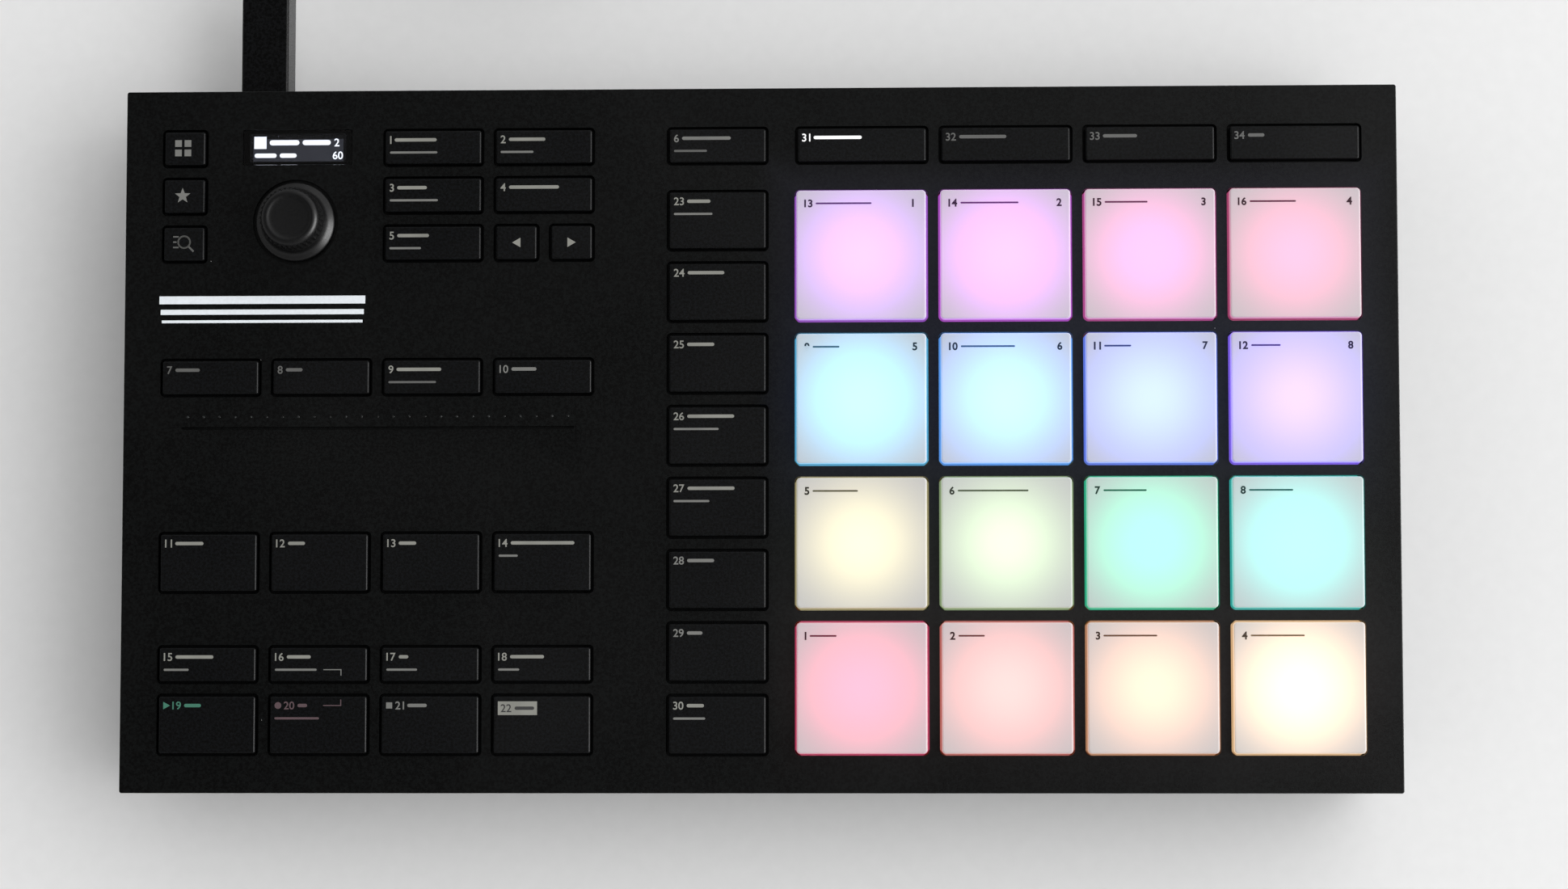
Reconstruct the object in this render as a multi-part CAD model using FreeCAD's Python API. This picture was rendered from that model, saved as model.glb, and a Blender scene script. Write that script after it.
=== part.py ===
# MIDI pad controller: a flat desktop case with sixteen lit pads, thirty-nine keys, a push encoder,
# a small display and a touch strip, on its USB cord.
# Millimetres. X runs right, Y towards the back and Z up. The origin is on the table, under the
# middle of the front panel. Places on the panel are given from its left and back edges.
import FreeCAD, Part
import math
import os
from FreeCAD import Vector

# Case
PANEL_WIDTH = 320.0
PANEL_DEPTH = 177.0
PANEL_TOP = 35.0
PANEL_THICKNESS = 2.4
PANEL_CORNER = 0.6
PANEL_EDGE_ROUND = 0.25
WALL = 2.0
WALL_INSET = 1.5  # the side walls stand back under the panel's edge
WALL_CORNER = 2.5
SEAM_HEIGHT = 8.0  # where the two covers meet
FLOOR_BOTTOM = 1.6
FLOOR = 2.0
FLANK_RUN = 6.4  # the bottom cover's flanks slope in by this much
TONGUE = 1.4
TONGUE_RISE = 1.6
TONGUE_GAP = 0.3

# Board and bosses
BOARD_BOTTOM = 23.4
BOARD = 1.6
BOARD_TOP = BOARD_BOTTOM + BOARD
BOARD_GAP = 3.5  # between the board's edge and the walls
BOSS_RADIUS = 2.1
BOSS_BORE = 1.25
BOSS_BORE_TOP = 31.0
PILLAR_RADIUS = 3.7
PILLAR_WELL = 2.6
PILLAR_LEDGE = 21.0  # the screw's head bears here
PILLAR_BORE = 1.35
BOARD_HOLE = 1.5
POST_RADIUS = 3.0
SCREW_HEAD = 2.3
SCREW_HEAD_HEIGHT = 1.8
SCREW_HEAD_ROUND = 0.5
SCREW_SLOT = (2.6, 0.6, 1.0)  # each arm of the cross: length, width, depth
SCREW_SHANK = 1.2
SCREW_TOP = 30.4

# Feet
FOOT_WIDTH = 26.0
FOOT_DEPTH = 9.0
FOOT_POCKET = 0.6
FOOT_CHAMFER = 0.4
FOOT_X = 130.0
FOOT_Y = 74.0

# Pads
PAD_ROWS = 4
PAD_X = 185.95
PAD_Y = 42.6
PAD_PITCH = 36.1
PAD_SIZE = 32.5
PAD_DRAFT = 0.1  # each wall leans in by this much on its way up
PAD_CORNER = 1.0
PAD_EDGE_ROUND = 0.5
PAD_TOP = 37.5
PAD_WINDOW = 33.5
PAD_WINDOW_CORNER = 1.4
PAD_TRAVEL = 0.5
PAD_FLANGE = 34.8
PAD_FLANGE_BOTTOM = 30.8
PAD_FLANGE_TOP = 32.3
PAD_FLANGE_CORNER = 4.5  # leaves room for a boss where four pads meet
PAD_FOOT = 29.0
LIGHT_WELL_RADIUS = 4.5
LIGHT_WELL_DEPTH = 3.6
SENSOR = 0.5
SENSOR_SIZE = 142.0
SENSOR_HOLE = 3.2
PRESS_GAP = 0.2  # left under a fully pressed pad or key
PAD_FOOT_BOTTOM = BOARD_TOP + SENSOR + PRESS_GAP + PAD_TRAVEL

# Case screws, in rows between the keys and where four pads meet
SCREWS = [
    (128.0, 14.0), (128.0, 163.0), (20.0, 56.0), (104.0, 56.0), (64.0, 105.2), (22.0, 133.9),
    (106.0, 133.9), (240.1, 22.5),
] + [(PAD_X + PAD_PITCH * i, PAD_Y + PAD_PITCH * j) for i in (0.5, 2.5) for j in (0.5, 2.5)]
POSTS = [
    (PAD_X + PAD_PITCH * i, PAD_Y + PAD_PITCH * j)
    for i, j in ((1.5, 0.5), (0.5, 1.5), (1.5, 1.5), (2.5, 1.5), (1.5, 2.5))
] + [(x, y) for x in (36.0, 92.0) for y in (82.0, 152.8)]

# Keys
KEY_TOP = 36.0
KEY_CORNER = 0.5
KEY_EDGE_ROUND = 0.45
KEY_GAP = 0.72
KEY_TRAVEL = 0.8
KEY_FLANGE_REACH = 1.1
KEY_FLANGE_TOP = 32.3
KEY_FLANGE_BOTTOM = 31.3
KEY_STEM_RADIUS = 1.7
WEB_WIDTH = 4.0  # the webs that join the caps of one moulding
WEB = 0.7
SLIM = 8.35
TALL = 14.2
KEY_WIDTH = 24.2
SMALL_WIDTH = 10.2
MODE_WIDTH = 32.2
MODE_X = 186.15
LEFT_COLUMNS = [22.12 + 28.0 * i for i in range(4)]
ICON_X = 15.1
PAGE_X = (99.2, 113.15)
CENTRE_X = 149.9
TOP_ROWS = [14.65 + 12.15 * i for i in range(3)]
STRIP_ROW = 72.8
GROUP_ROW = 119.4
EDIT_ROW = 144.9
TRANSPORT_ROW = 159.95
CENTRE_ROWS = [33.55 + 18.07 * i for i in range(8)]

# Switches, lights and chips on the board
SWITCH = 5.2
SWITCH_HEIGHT = 2.0
PLUNGER_RADIUS = 1.5
PLUNGER_HEIGHT = 0.6
KEY_STEM_BOTTOM = BOARD_TOP + SWITCH_HEIGHT + PLUNGER_HEIGHT + PRESS_GAP + KEY_TRAVEL
KEY_LIGHT = (1.6, 0.8, 0.7)
PAD_LIGHT = (3.5, 3.5, 1.2)
STRIP_LIGHTS = 25
STRIP_LIGHT = (1.0, 0.6, 0.5)
CHIPS = [
    ((75.0, 60.0), (14.0, 14.0, 1.4)), ((75.0, 90.0), (10.0, 10.0, 1.2)),
    ((130.0, 80.0), (9.0, 6.0, 1.4)), ((222.0, 78.7), (7.0, 7.0, 1.0)),
    ((258.0, 78.7), (7.0, 7.0, 1.0)), ((222.0, 114.8), (7.0, 7.0, 1.0)),
    ((258.0, 114.8), (7.0, 7.0, 1.0)),
]
CAPACITORS = [(52.0, 20.0), (60.0, 20.0)]
CAPACITOR_RADIUS = 3.0
CAPACITOR_HEIGHT = 7.0

# Encoder
ENCODER_X = 43.17
ENCODER_Y = 33.36
DISH_RADIUS = 10.8
DISH_DEPTH = 1.2
DISH_BORE = 3.8
ENCODER_SIZE = 12.4
ENCODER_TOP = 30.6
BUSHING_RADIUS = 3.5
BUSHING_TOP = 35.2
SHAFT_RADIUS = 3.0
SHAFT_TOP = 41.8
SHAFT_SHOULDER = 30.2
SHAFT_END = 26.4
SHAFT_TAIL_RADIUS = 2.0
SHAFT_FLAT = 1.5  # the tail's two flats drive the rotor
ENCODER_PUSH = 0.5
RUNNING_GAP = 0.05
ROTOR_RADIUS = 4.7
ROTOR_BOTTOM = 27.1
ROTOR_TOP = 29.5
ROTOR_GAP = 0.1
KNOB_BOTTOM = 34.7
KNOB_TOP = 45.0
KNURL_RADIUS = 7.7
KNURL_DEPTH = 0.4
KNURL_TEETH = 36
KNURL_BOTTOM = 38.3
KNURL_TOP = 43.4
KNOB_FLARE = [  # radius, height above the knob's bottom
    (0.0, 0.0), (9.7, 0.0), (9.95, 0.25), (9.95, 0.8), (9.7, 1.15), (9.2, 1.5), (8.6, 1.95), (8.1, 2.5),
    (7.8, 3.1), (7.7, KNURL_BOTTOM - KNOB_BOTTOM),
]
KNOB_CAP = [  # radius, depth below the knob's top
    (7.3, 1.3), (7.15, 0.8), (6.8, 0.35), (6.3, 0.08), (5.8, 0.0), (5.2, 0.3), (0.0, 0.3),
]
KNOB_HOLLOW = (4.5, 2.3)  # radius and depth of the room for the bushing

# Display
DISPLAY_X = 43.5
DISPLAY_Y = 14.35
WINDOW_SIZE = (27.6, 8.8)
WINDOW_BOTTOM = 33.7
WINDOW_TOP = 34.9
WINDOW_GAP = 0.1
SIGHT_SIZE = (24.4, 7.2)
GLASS_SIZE = (28.4, 10.4)
GLASS_BOTTOM = 31.0
GLASS_TOP = 32.5
GLASS_FRAME = 1.6

# Touch strip
STRIP_X = 64.25
STRIP_BACK = 85.2
STRIP_CREASE = 90.4  # the flat floor ends here and the front ramp starts
STRIP_FRONT = 98.6
STRIP_LENGTH = 103.0
STRIP_DEPTH = 0.9
STRIP_END_RUN = 12.0
STRIP_GROOVE = (99.0, 0.7, 1.4)  # length, width, depth under the panel's face
STRIP_FILM = (106.0, 12.4, 0.8)
STRIP_LIGHT_Y = 82.7
STRIP_LIGHT_X = 16.3
STRIP_LIGHT_PITCH = 4.0

# USB socket and plug
SOCKET_X = 33.0
SOCKET_WIDTH = 12.0
SOCKET_HEIGHT = 10.8
SOCKET_LENGTH = 16.2
SOCKET_FRONT = 86.6
SOCKET_MOUTH = (8.9, 8.2, 9.0)
SOCKET_TONGUE = (5.2, 3.0, 8.0)
SOCKET_CLEARANCE = 0.3
PLUG_WIDTH = 12.0
PLUG_HEIGHT = 11.6
PLUG_BACK = 87.2
PLUG_LENGTH = 30.0
PLUG_ROUND = 0.7
PLUG_SHELL = (8.5, 7.8, 0.4)
PLUG_SHELL_LENGTH = 8.8
RELIEF_LENGTH = 20.0
RELIEF_RADII = (3.7, 2.8)
RELIEF_RIBS = 6
RELIEF_GROOVE = 0.5

# Cord, one length of 1.8 m from the plug's strain relief to the computer plug's
CORD_RADIUS = 2.3
COIL_CENTRE = Vector(-62.0, 168.0, 0.0)
COIL_RADIUS = 32.0
COIL_PITCH = 5.1
COIL_LAYER = 5.1
COIL_TURNS = 10  # a quarter of them in each of four layers
CORD_LOW = 2.35
ROUTE_IN = [
    (-127.0, 137.2, 18.0), (-127.0, 150.5, 18.0), (-125.5, 164.5, 12.2), (-119.5, 178.7, 6.0),
    (-108.0, 191.0, 2.8), (-93.5, 197.8, 2.35), (-79.5, 200.0, 2.35), (-66.6, 200.0, 2.35),
]
ROUTE_OUT = [
    (-57.4, 200.0, 17.65), (-46.5, 200.0, 17.65), (-33.5, 198.8, 11.6), (-20.5, 196.4, 5.4),
    (-6.0, 192.6, 3.8), (8.0, 187.5, 3.8),
]
COIL_LEAD = 2 * CORD_RADIUS  # straight, at each end of the coil
COMPUTER_RELIEF = 12.0
COMPUTER_GRIP = (26.0, 15.6, 7.6)  # length, width, height
COMPUTER_SHELL = (18.5, 12.0, 4.5)
COMPUTER_SHELL_WALL = 0.4
COMPUTER_SHELL_BACK = 2.0
COMPUTER_TONGUE = (15.5, 10.8, 1.8)


def from_corner(x, y, z=0.0):
    """A point given from the panel's left and back edges."""
    return Vector(x - PANEL_WIDTH / 2, PANEL_DEPTH / 2 - y, z)


def rounded_outline(x, y, width, depth, z, corner):
    """A rectangle with round corners, level at height z."""
    edges = []
    last = None
    reach_x = width / 2 - corner
    reach_y = depth / 2 - corner
    for turn, (side_x, side_y) in enumerate([(1, 1), (-1, 1), (-1, -1), (1, -1)]):
        middle = Vector(x + side_x * reach_x, y + side_y * reach_y, z)
        start, half, end = (
            middle + Vector(corner * math.cos(a), corner * math.sin(a), 0)
            for a in (math.pi / 2 * turn, math.pi / 2 * (turn + 0.5), math.pi / 2 * (turn + 1))
        )
        if last:
            edges.append(Part.LineSegment(last, start).toShape())
        else:
            first = start
        edges.append(Part.Arc(start, half, end).toShape())
        last = end
    edges.append(Part.LineSegment(last, first).toShape())
    return Part.Wire(edges)


def slab(place, width, depth, bottom, top, corner=0.5):
    """An upright block with round corners, centred on a place."""
    outline = rounded_outline(place.x, place.y, width, depth, bottom, corner)
    return Part.Face(outline).extrude(Vector(0, 0, top - bottom))


def tapered_slab(place, lower, upper, bottom, top, corner):
    """An upright block whose size changes from lower to upper on its way up."""
    outlines = [
        rounded_outline(place.x, place.y, lower[0], lower[1], bottom, corner),
        rounded_outline(place.x, place.y, upper[0], upper[1], top, corner),
    ]
    return Part.makeLoft(outlines, True, True)


def box(place, size):
    """A plain block that stands on a place: width, depth, height."""
    low = place - Vector(size[0] / 2, size[1] / 2, 0)
    return Part.makeBox(*size, low)


def rod(place, radius, bottom, top):
    """An upright cylinder."""
    return Part.makeCylinder(radius, top - bottom, Vector(place.x, place.y, bottom))


def level_edges(shape, height):
    """The shape's edges that lie level at this height."""
    return [e for e in shape.Edges if all(abs(v.Z - height) < 1e-6 for v in e.Vertexes)]


def turned(profile, place):
    """A round piece from its profile of radii and heights, about an upright axis."""
    points = [Vector(place.x + r, place.y, z) for r, z in profile]
    face = Part.Face(Part.makePolygon(points + points[:1]))
    return face.revolve(Vector(place.x, place.y, 0), Vector(0, 0, 1), 360)


def joined(shapes):
    """One solid from pieces that meet."""
    return shapes[0].fuse(shapes[1:]).removeSplitter()


def pads():
    """Each pad's number and place. Number one is at the front left."""
    places = {}
    for row in range(PAD_ROWS):
        for column in range(PAD_ROWS):
            number = 1 + column + PAD_ROWS * (PAD_ROWS - 1 - row)
            places[number] = from_corner(PAD_X + PAD_PITCH * column, PAD_Y + PAD_PITCH * row)
    return places


def keys():
    """Each key moulding's caps, as (place, width, depth)."""
    first, second, third = TOP_ROWS
    left, right = LEFT_COLUMNS[2:]
    mouldings = {
        "icon_keys": [(ICON_X, y, SMALL_WIDTH, SLIM) for y in TOP_ROWS],
        "display_keys": [
            (x, y, KEY_WIDTH, SLIM)
            for x, y in [(left, third), (left, second), (left, first), (right, first), (right, second)]
        ],
        "page_left_key": [(PAGE_X[0], third, SMALL_WIDTH, SLIM)],
        "page_right_key": [(PAGE_X[1], third, SMALL_WIDTH, SLIM)],
        "strip_mode_keys": [(x, STRIP_ROW, KEY_WIDTH, SLIM) for x in LEFT_COLUMNS],
        "edit_keys": [(x, EDIT_ROW, KEY_WIDTH, SLIM) for x in LEFT_COLUMNS],
        "fixed_velocity_key": [(CENTRE_X, first, KEY_WIDTH, SLIM)],
    }
    for x, name in zip(LEFT_COLUMNS, ["group", "auto", "lock", "note_repeat"]):
        mouldings[f"{name}_key"] = [(x, GROUP_ROW, KEY_WIDTH, TALL)]
    for x, name in zip(LEFT_COLUMNS, ["play", "record", "stop", "shift"]):
        mouldings[f"{name}_key"] = [(x, TRANSPORT_ROW, KEY_WIDTH, TALL)]
    column = ["scene", "pattern", "events", "variation", "duplicate", "select", "solo", "mute"]
    for y, name in zip(CENTRE_ROWS, column):
        mouldings[f"{name}_key"] = [(CENTRE_X, y, KEY_WIDTH, TALL)]
    for i, name in enumerate(["pad_mode", "keyboard", "chords", "step"]):
        mouldings[f"{name}_key"] = [(MODE_X + PAD_PITCH * i, first, MODE_WIDTH, SLIM)]
    return {
        name: [(from_corner(x, y), width, depth) for x, y, width, depth in caps]
        for name, caps in mouldings.items()
    }


def key_moulding(caps):
    """One moulded key, or a few caps joined by webs under the panel, with a stem under each cap."""
    pieces = []
    for place, width, depth in caps:
        cap = slab(place, width, depth, KEY_FLANGE_TOP, KEY_TOP, KEY_CORNER)
        pieces.append(cap.makeFillet(KEY_EDGE_ROUND, level_edges(cap, KEY_TOP)))
        reach = 2 * KEY_FLANGE_REACH
        size = (width + reach, depth + reach)
        pieces.append(slab(place, *size, KEY_FLANGE_BOTTOM, KEY_FLANGE_TOP, KEY_CORNER))
        pieces.append(rod(place, KEY_STEM_RADIUS, KEY_STEM_BOTTOM, KEY_FLANGE_BOTTOM))
    for (a, _, _), (b, _, _) in zip(caps, caps[1:]):
        middle = (a + b) / 2
        width = max(abs(a.x - b.x) / 2, WEB_WIDTH)
        depth = max(abs(a.y - b.y) / 2, WEB_WIDTH)
        pieces.append(box(Vector(middle.x, middle.y, KEY_FLANGE_BOTTOM), (width, depth, WEB)))
    return joined(pieces)


def pad(place):
    """A translucent pad: drafted block, flange under the panel, foot on the sensor, light well."""
    lower = PAD_SIZE + 2 * PAD_DRAFT
    sizes = ((lower, lower), (PAD_SIZE, PAD_SIZE))
    block = tapered_slab(place, *sizes, PAD_FLANGE_TOP, PAD_TOP, PAD_CORNER)
    block = block.makeFillet(PAD_EDGE_ROUND, level_edges(block, PAD_TOP))
    heights = (PAD_FLANGE_BOTTOM, PAD_FLANGE_TOP)
    flange = slab(place, PAD_FLANGE, PAD_FLANGE, *heights, PAD_FLANGE_CORNER)
    foot = slab(place, PAD_FOOT, PAD_FOOT, PAD_FOOT_BOTTOM, PAD_FLANGE_BOTTOM, PAD_CORNER)
    well_top = PAD_FOOT_BOTTOM + LIGHT_WELL_DEPTH
    well = rod(place, LIGHT_WELL_RADIUS, PAD_FOOT_BOTTOM, well_top)
    return joined([block, flange, foot]).cut(well)


def strip_recess():
    """The touch strip's shallow scoop: ramps up to the panel's face, and a fine groove at the back."""
    floor = PANEL_TOP - STRIP_DEPTH
    left, right = (STRIP_X + side * STRIP_LENGTH / 2 for side in (-1, 1))
    lower = Part.makePolygon([
        from_corner(x, y, floor)
        for x, y in [
            (left + STRIP_END_RUN, STRIP_BACK), (right - STRIP_END_RUN, STRIP_BACK),
            (right - STRIP_END_RUN, STRIP_CREASE), (left + STRIP_END_RUN, STRIP_CREASE),
            (left + STRIP_END_RUN, STRIP_BACK),
        ]
    ])
    upper = Part.makePolygon([
        from_corner(x, y, PANEL_TOP)
        for x, y in [
            (left, STRIP_BACK), (right, STRIP_BACK), (right, STRIP_FRONT), (left, STRIP_FRONT),
            (left, STRIP_BACK),
        ]
    ])
    groove = box(
        from_corner(STRIP_X, STRIP_BACK + STRIP_GROOVE[1] / 2, PANEL_TOP - STRIP_GROOVE[2]), STRIP_GROOVE
    )
    return Part.makeLoft([lower, upper], True, True).fuse(groove)


def top_cover():
    """The front panel with its windows, the side walls under it and the screw bosses."""
    middle = Vector(0, 0, 0)
    underside = PANEL_TOP - PANEL_THICKNESS
    panel = slab(middle, PANEL_WIDTH, PANEL_DEPTH, underside, PANEL_TOP, PANEL_CORNER)
    panel = panel.makeFillet(PANEL_EDGE_ROUND, level_edges(panel, PANEL_TOP))
    outside = (PANEL_WIDTH - 2 * WALL_INSET, PANEL_DEPTH - 2 * WALL_INSET)
    inside = (outside[0] - 2 * WALL, outside[1] - 2 * WALL)
    walls = slab(middle, *outside, SEAM_HEIGHT, underside, WALL_CORNER)
    walls = walls.cut(slab(middle, *inside, SEAM_HEIGHT, underside, WALL_CORNER - 1))
    bosses = [rod(from_corner(*p), BOSS_RADIUS, BOARD_TOP, underside) for p in SCREWS]
    encoder = from_corner(ENCODER_X, ENCODER_Y)
    display = from_corner(DISPLAY_X, DISPLAY_Y)
    socket = from_corner(SOCKET_X, 0)
    opening = (
        SOCKET_WIDTH + 2 * SOCKET_CLEARANCE, 4 * WALL, BOARD_BOTTOM - SEAM_HEIGHT + SOCKET_CLEARANCE
    )
    pocket = [size + 2 * WINDOW_GAP for size in WINDOW_SIZE]
    cuts = [
        slab(place, PAD_WINDOW, PAD_WINDOW, underside, PANEL_TOP, PAD_WINDOW_CORNER)
        for place in pads().values()
    ]
    for caps in keys().values():
        for place, width, depth in caps:
            size = (width + 2 * KEY_GAP, depth + 2 * KEY_GAP)
            cuts.append(slab(place, *size, underside, PANEL_TOP, KEY_CORNER + KEY_GAP))
    cuts += [rod(from_corner(*p), BOSS_BORE, BOARD_BOTTOM, BOSS_BORE_TOP) for p in SCREWS]
    cuts += [
        rod(encoder, DISH_RADIUS, PANEL_TOP - DISH_DEPTH, PANEL_TOP),
        rod(encoder, DISH_BORE, underside, PANEL_TOP),
        slab(display, *pocket, WINDOW_BOTTOM, PANEL_TOP),
        slab(display, *SIGHT_SIZE, underside, WINDOW_BOTTOM),
        strip_recess(),
        box(Vector(socket.x, SOCKET_FRONT - WALL, SEAM_HEIGHT), opening),
    ]
    return joined([panel, walls, *bosses]).cut(cuts)


def pillar_cuts(place):
    """The well for a screw's head from below, and the bore for its shank."""
    return [
        rod(place, PILLAR_WELL, FLOOR_BOTTOM, PILLAR_LEDGE),
        rod(place, PILLAR_BORE, PILLAR_LEDGE, BOARD_BOTTOM),
    ]


def bottom_cover():
    """The tray: sloped flanks, a tongue inside the walls, screw pillars, and posts under the board."""
    middle = Vector(0, 0, 0)
    rim = (PANEL_WIDTH - 2 * WALL_INSET, PANEL_DEPTH - 2 * WALL_INSET)
    base = (rim[0] - 2 * FLANK_RUN, rim[1] - 2 * FLANK_RUN)
    outer = tapered_slab(middle, base, rim, FLOOR_BOTTOM, SEAM_HEIGHT, WALL_CORNER)
    floor_top = FLOOR_BOTTOM + FLOOR
    inner_rim = (rim[0] - 2 * WALL, rim[1] - 2 * WALL)
    inner_run = FLANK_RUN * (SEAM_HEIGHT - floor_top) / (SEAM_HEIGHT - FLOOR_BOTTOM)
    inner_base = [size - 2 * inner_run - WALL / 2 for size in inner_rim]
    inner = tapered_slab(middle, inner_base, inner_rim, floor_top, SEAM_HEIGHT, WALL_CORNER - 1)
    tongue_out = [size - 2 * TONGUE_GAP for size in inner_rim]
    tongue_in = [size - 2 * TONGUE for size in tongue_out]
    ring = (SEAM_HEIGHT - WALL, SEAM_HEIGHT + TONGUE_RISE)
    tongue = slab(middle, *tongue_out, *ring, 1.2).cut(slab(middle, *tongue_in, *ring))
    pillars = [rod(from_corner(*p), PILLAR_RADIUS, floor_top, BOARD_BOTTOM) for p in SCREWS]
    posts = [rod(from_corner(*p), POST_RADIUS, floor_top, BOARD_BOTTOM) for p in POSTS]
    cuts = [cut for p in SCREWS for cut in pillar_cuts(from_corner(*p))]
    cuts += [
        slab(p, FOOT_WIDTH, FOOT_DEPTH, FLOOR_BOTTOM, FLOOR_BOTTOM + FOOT_POCKET, 2.0)
        for p in foot_places()
    ]
    socket = from_corner(SOCKET_X, 0)
    notch = (SOCKET_WIDTH + 4 * SOCKET_CLEARANCE, 4 * WALL, 2 * TONGUE_RISE)
    cuts.append(box(Vector(socket.x, inner_rim[1] / 2, SEAM_HEIGHT), notch))
    return joined([outer.cut(inner), tongue, *pillars, *posts]).cut(cuts)


def foot_places():
    return [Vector(x, y, 0) for x in (-FOOT_X, FOOT_X) for y in (-FOOT_Y, FOOT_Y)]


def rubber_feet():
    """Four rubber feet, glued in the bottom cover's shallow pockets."""
    feet = []
    for place in foot_places():
        foot = slab(place, FOOT_WIDTH, FOOT_DEPTH, 0, FLOOR_BOTTOM + FOOT_POCKET, 2.0)
        feet.append(foot.makeChamfer(FOOT_CHAMFER, level_edges(foot, 0)))
    return Part.makeCompound(feet)


def case_screws():
    """Pan-head screws that run up through the bottom cover and board into the bosses."""
    screws = []
    low = PILLAR_LEDGE - SCREW_HEAD_HEIGHT
    for p in SCREWS:
        place = from_corner(*p)
        head = rod(place, SCREW_HEAD, low, PILLAR_LEDGE)
        head = head.makeFillet(SCREW_HEAD_ROUND, level_edges(head, low))
        shank = rod(place, SCREW_SHANK, PILLAR_LEDGE, SCREW_TOP)
        length, width, depth = SCREW_SLOT
        foot = place + Vector(0, 0, low)
        cross = [box(foot, (length, width, depth)), box(foot, (width, length, depth))]
        screws.append(joined([head, shank]).cut(cross))
    return Part.makeCompound(screws)


def usb_socket():
    """The type B socket that hangs from the board's underside, with its contact tongue."""
    place = from_corner(SOCKET_X, 0)
    low = BOARD_BOTTOM - SOCKET_HEIGHT
    centre = BOARD_BOTTOM - SOCKET_HEIGHT / 2
    middle = SOCKET_FRONT - SOCKET_LENGTH / 2
    body = box(Vector(place.x, middle, low), (SOCKET_WIDTH, SOCKET_LENGTH, SOCKET_HEIGHT))
    width, height, depth = SOCKET_MOUTH
    mouth = box(Vector(place.x, SOCKET_FRONT - depth / 2, centre - height / 2), (width, depth, height))
    width, height, depth = SOCKET_TONGUE
    root = SOCKET_FRONT - SOCKET_MOUTH[2]
    tongue = box(Vector(place.x, root + depth / 2, centre - height / 2), (width, depth, height))
    return body.cut(mouth).fuse(tongue)


def main_board():
    """The circuit board with everything that is soldered to it."""
    outside = (PANEL_WIDTH - 2 * WALL_INSET, PANEL_DEPTH - 2 * WALL_INSET)
    size = [length - 2 * (WALL + BOARD_GAP) for length in outside]
    board = slab(Vector(0, 0, 0), *size, BOARD_BOTTOM, BOARD_TOP, 3.0)
    board = board.cut([rod(from_corner(*p), BOARD_HOLE, BOARD_BOTTOM, BOARD_TOP) for p in SCREWS])
    soldered = [usb_socket()]
    for caps in keys().values():
        for place, width, depth in caps:
            middle = place + Vector(0, 0, BOARD_TOP)
            switch = box(middle, (SWITCH, SWITCH, SWITCH_HEIGHT))
            tip = BOARD_TOP + SWITCH_HEIGHT
            plunger = rod(place, PLUNGER_RADIUS, tip, tip + PLUNGER_HEIGHT)
            soldered.append(joined([switch, plunger]))
            soldered.append(box(middle - Vector(width / 4 + KEY_LIGHT[0], 0, 0), KEY_LIGHT))
    for place in pads().values():
        soldered.append(box(place + Vector(0, 0, BOARD_TOP), PAD_LIGHT))
    for i in range(STRIP_LIGHTS):
        place = from_corner(STRIP_LIGHT_X + STRIP_LIGHT_PITCH * i, STRIP_LIGHT_Y, BOARD_TOP)
        soldered.append(box(place, STRIP_LIGHT))
    for place, size in CHIPS:
        soldered.append(box(from_corner(*place, BOARD_BOTTOM - size[2]), size))
    for place in CAPACITORS:
        low = BOARD_BOTTOM - CAPACITOR_HEIGHT
        soldered.append(rod(from_corner(*place), CAPACITOR_RADIUS, low, BOARD_BOTTOM))
    return Part.makeCompound([board, *soldered])


def pad_sensor_sheet():
    """The force-sensing sheet under the pads, with holes for the pads' lights and the bosses."""
    places = list(pads().values())
    middle = (places[0] + places[-1]) / 2
    holes = places + [from_corner(*p) for p in SCREWS]
    sheet = slab(middle, SENSOR_SIZE, SENSOR_SIZE, BOARD_TOP, BOARD_TOP + SENSOR, 1.5)
    return sheet.cut([rod(p, SENSOR_HOLE, BOARD_TOP, BOARD_TOP + SENSOR) for p in holes])


def display_module():
    """The display's glass, on its frame that stands on the board."""
    place = from_corner(DISPLAY_X, DISPLAY_Y)
    glass = slab(place, *GLASS_SIZE, GLASS_BOTTOM, GLASS_TOP)
    frame = slab(place, *GLASS_SIZE, BOARD_TOP, GLASS_BOTTOM)
    hollow = [size - 2 * GLASS_FRAME for size in GLASS_SIZE]
    frame = frame.cut(slab(place, *hollow, BOARD_TOP, GLASS_BOTTOM))
    return Part.makeCompound([glass, frame])


def display_window():
    """The smoked window, just below the panel's face."""
    place = from_corner(DISPLAY_X, DISPLAY_Y)
    return slab(place, *WINDOW_SIZE, WINDOW_BOTTOM, WINDOW_TOP, 0.5)


def touch_strip():
    """The touch sensor's film, bonded to the panel's underside below the recess."""
    width, depth, thickness = STRIP_FILM
    place = from_corner(STRIP_X, (STRIP_BACK + STRIP_FRONT) / 2)
    underside = PANEL_TOP - PANEL_THICKNESS
    return slab(place, width, depth, underside - thickness, underside, 1.0)


def encoder_body():
    """The encoder's housing: a block with a chamber for the rotor, and the bushing over it."""
    place = from_corner(ENCODER_X, ENCODER_Y)
    housing = slab(place, ENCODER_SIZE, ENCODER_SIZE, BOARD_TOP, ENCODER_TOP)
    bushing = rod(place, BUSHING_RADIUS, ENCODER_TOP, BUSHING_TOP)
    chamber = rod(place, ROTOR_RADIUS + ROTOR_GAP, ROTOR_BOTTOM - ROTOR_GAP, ROTOR_TOP + ROTOR_GAP)
    bore = rod(place, SHAFT_RADIUS + RUNNING_GAP, ROTOR_TOP, BUSHING_TOP)
    well_bottom = SHAFT_END - ENCODER_PUSH - PRESS_GAP
    well = rod(place, SHAFT_TAIL_RADIUS + ROTOR_GAP, well_bottom, ROTOR_BOTTOM)
    return joined([housing, bushing]).cut([chamber, bore, well])


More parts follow.
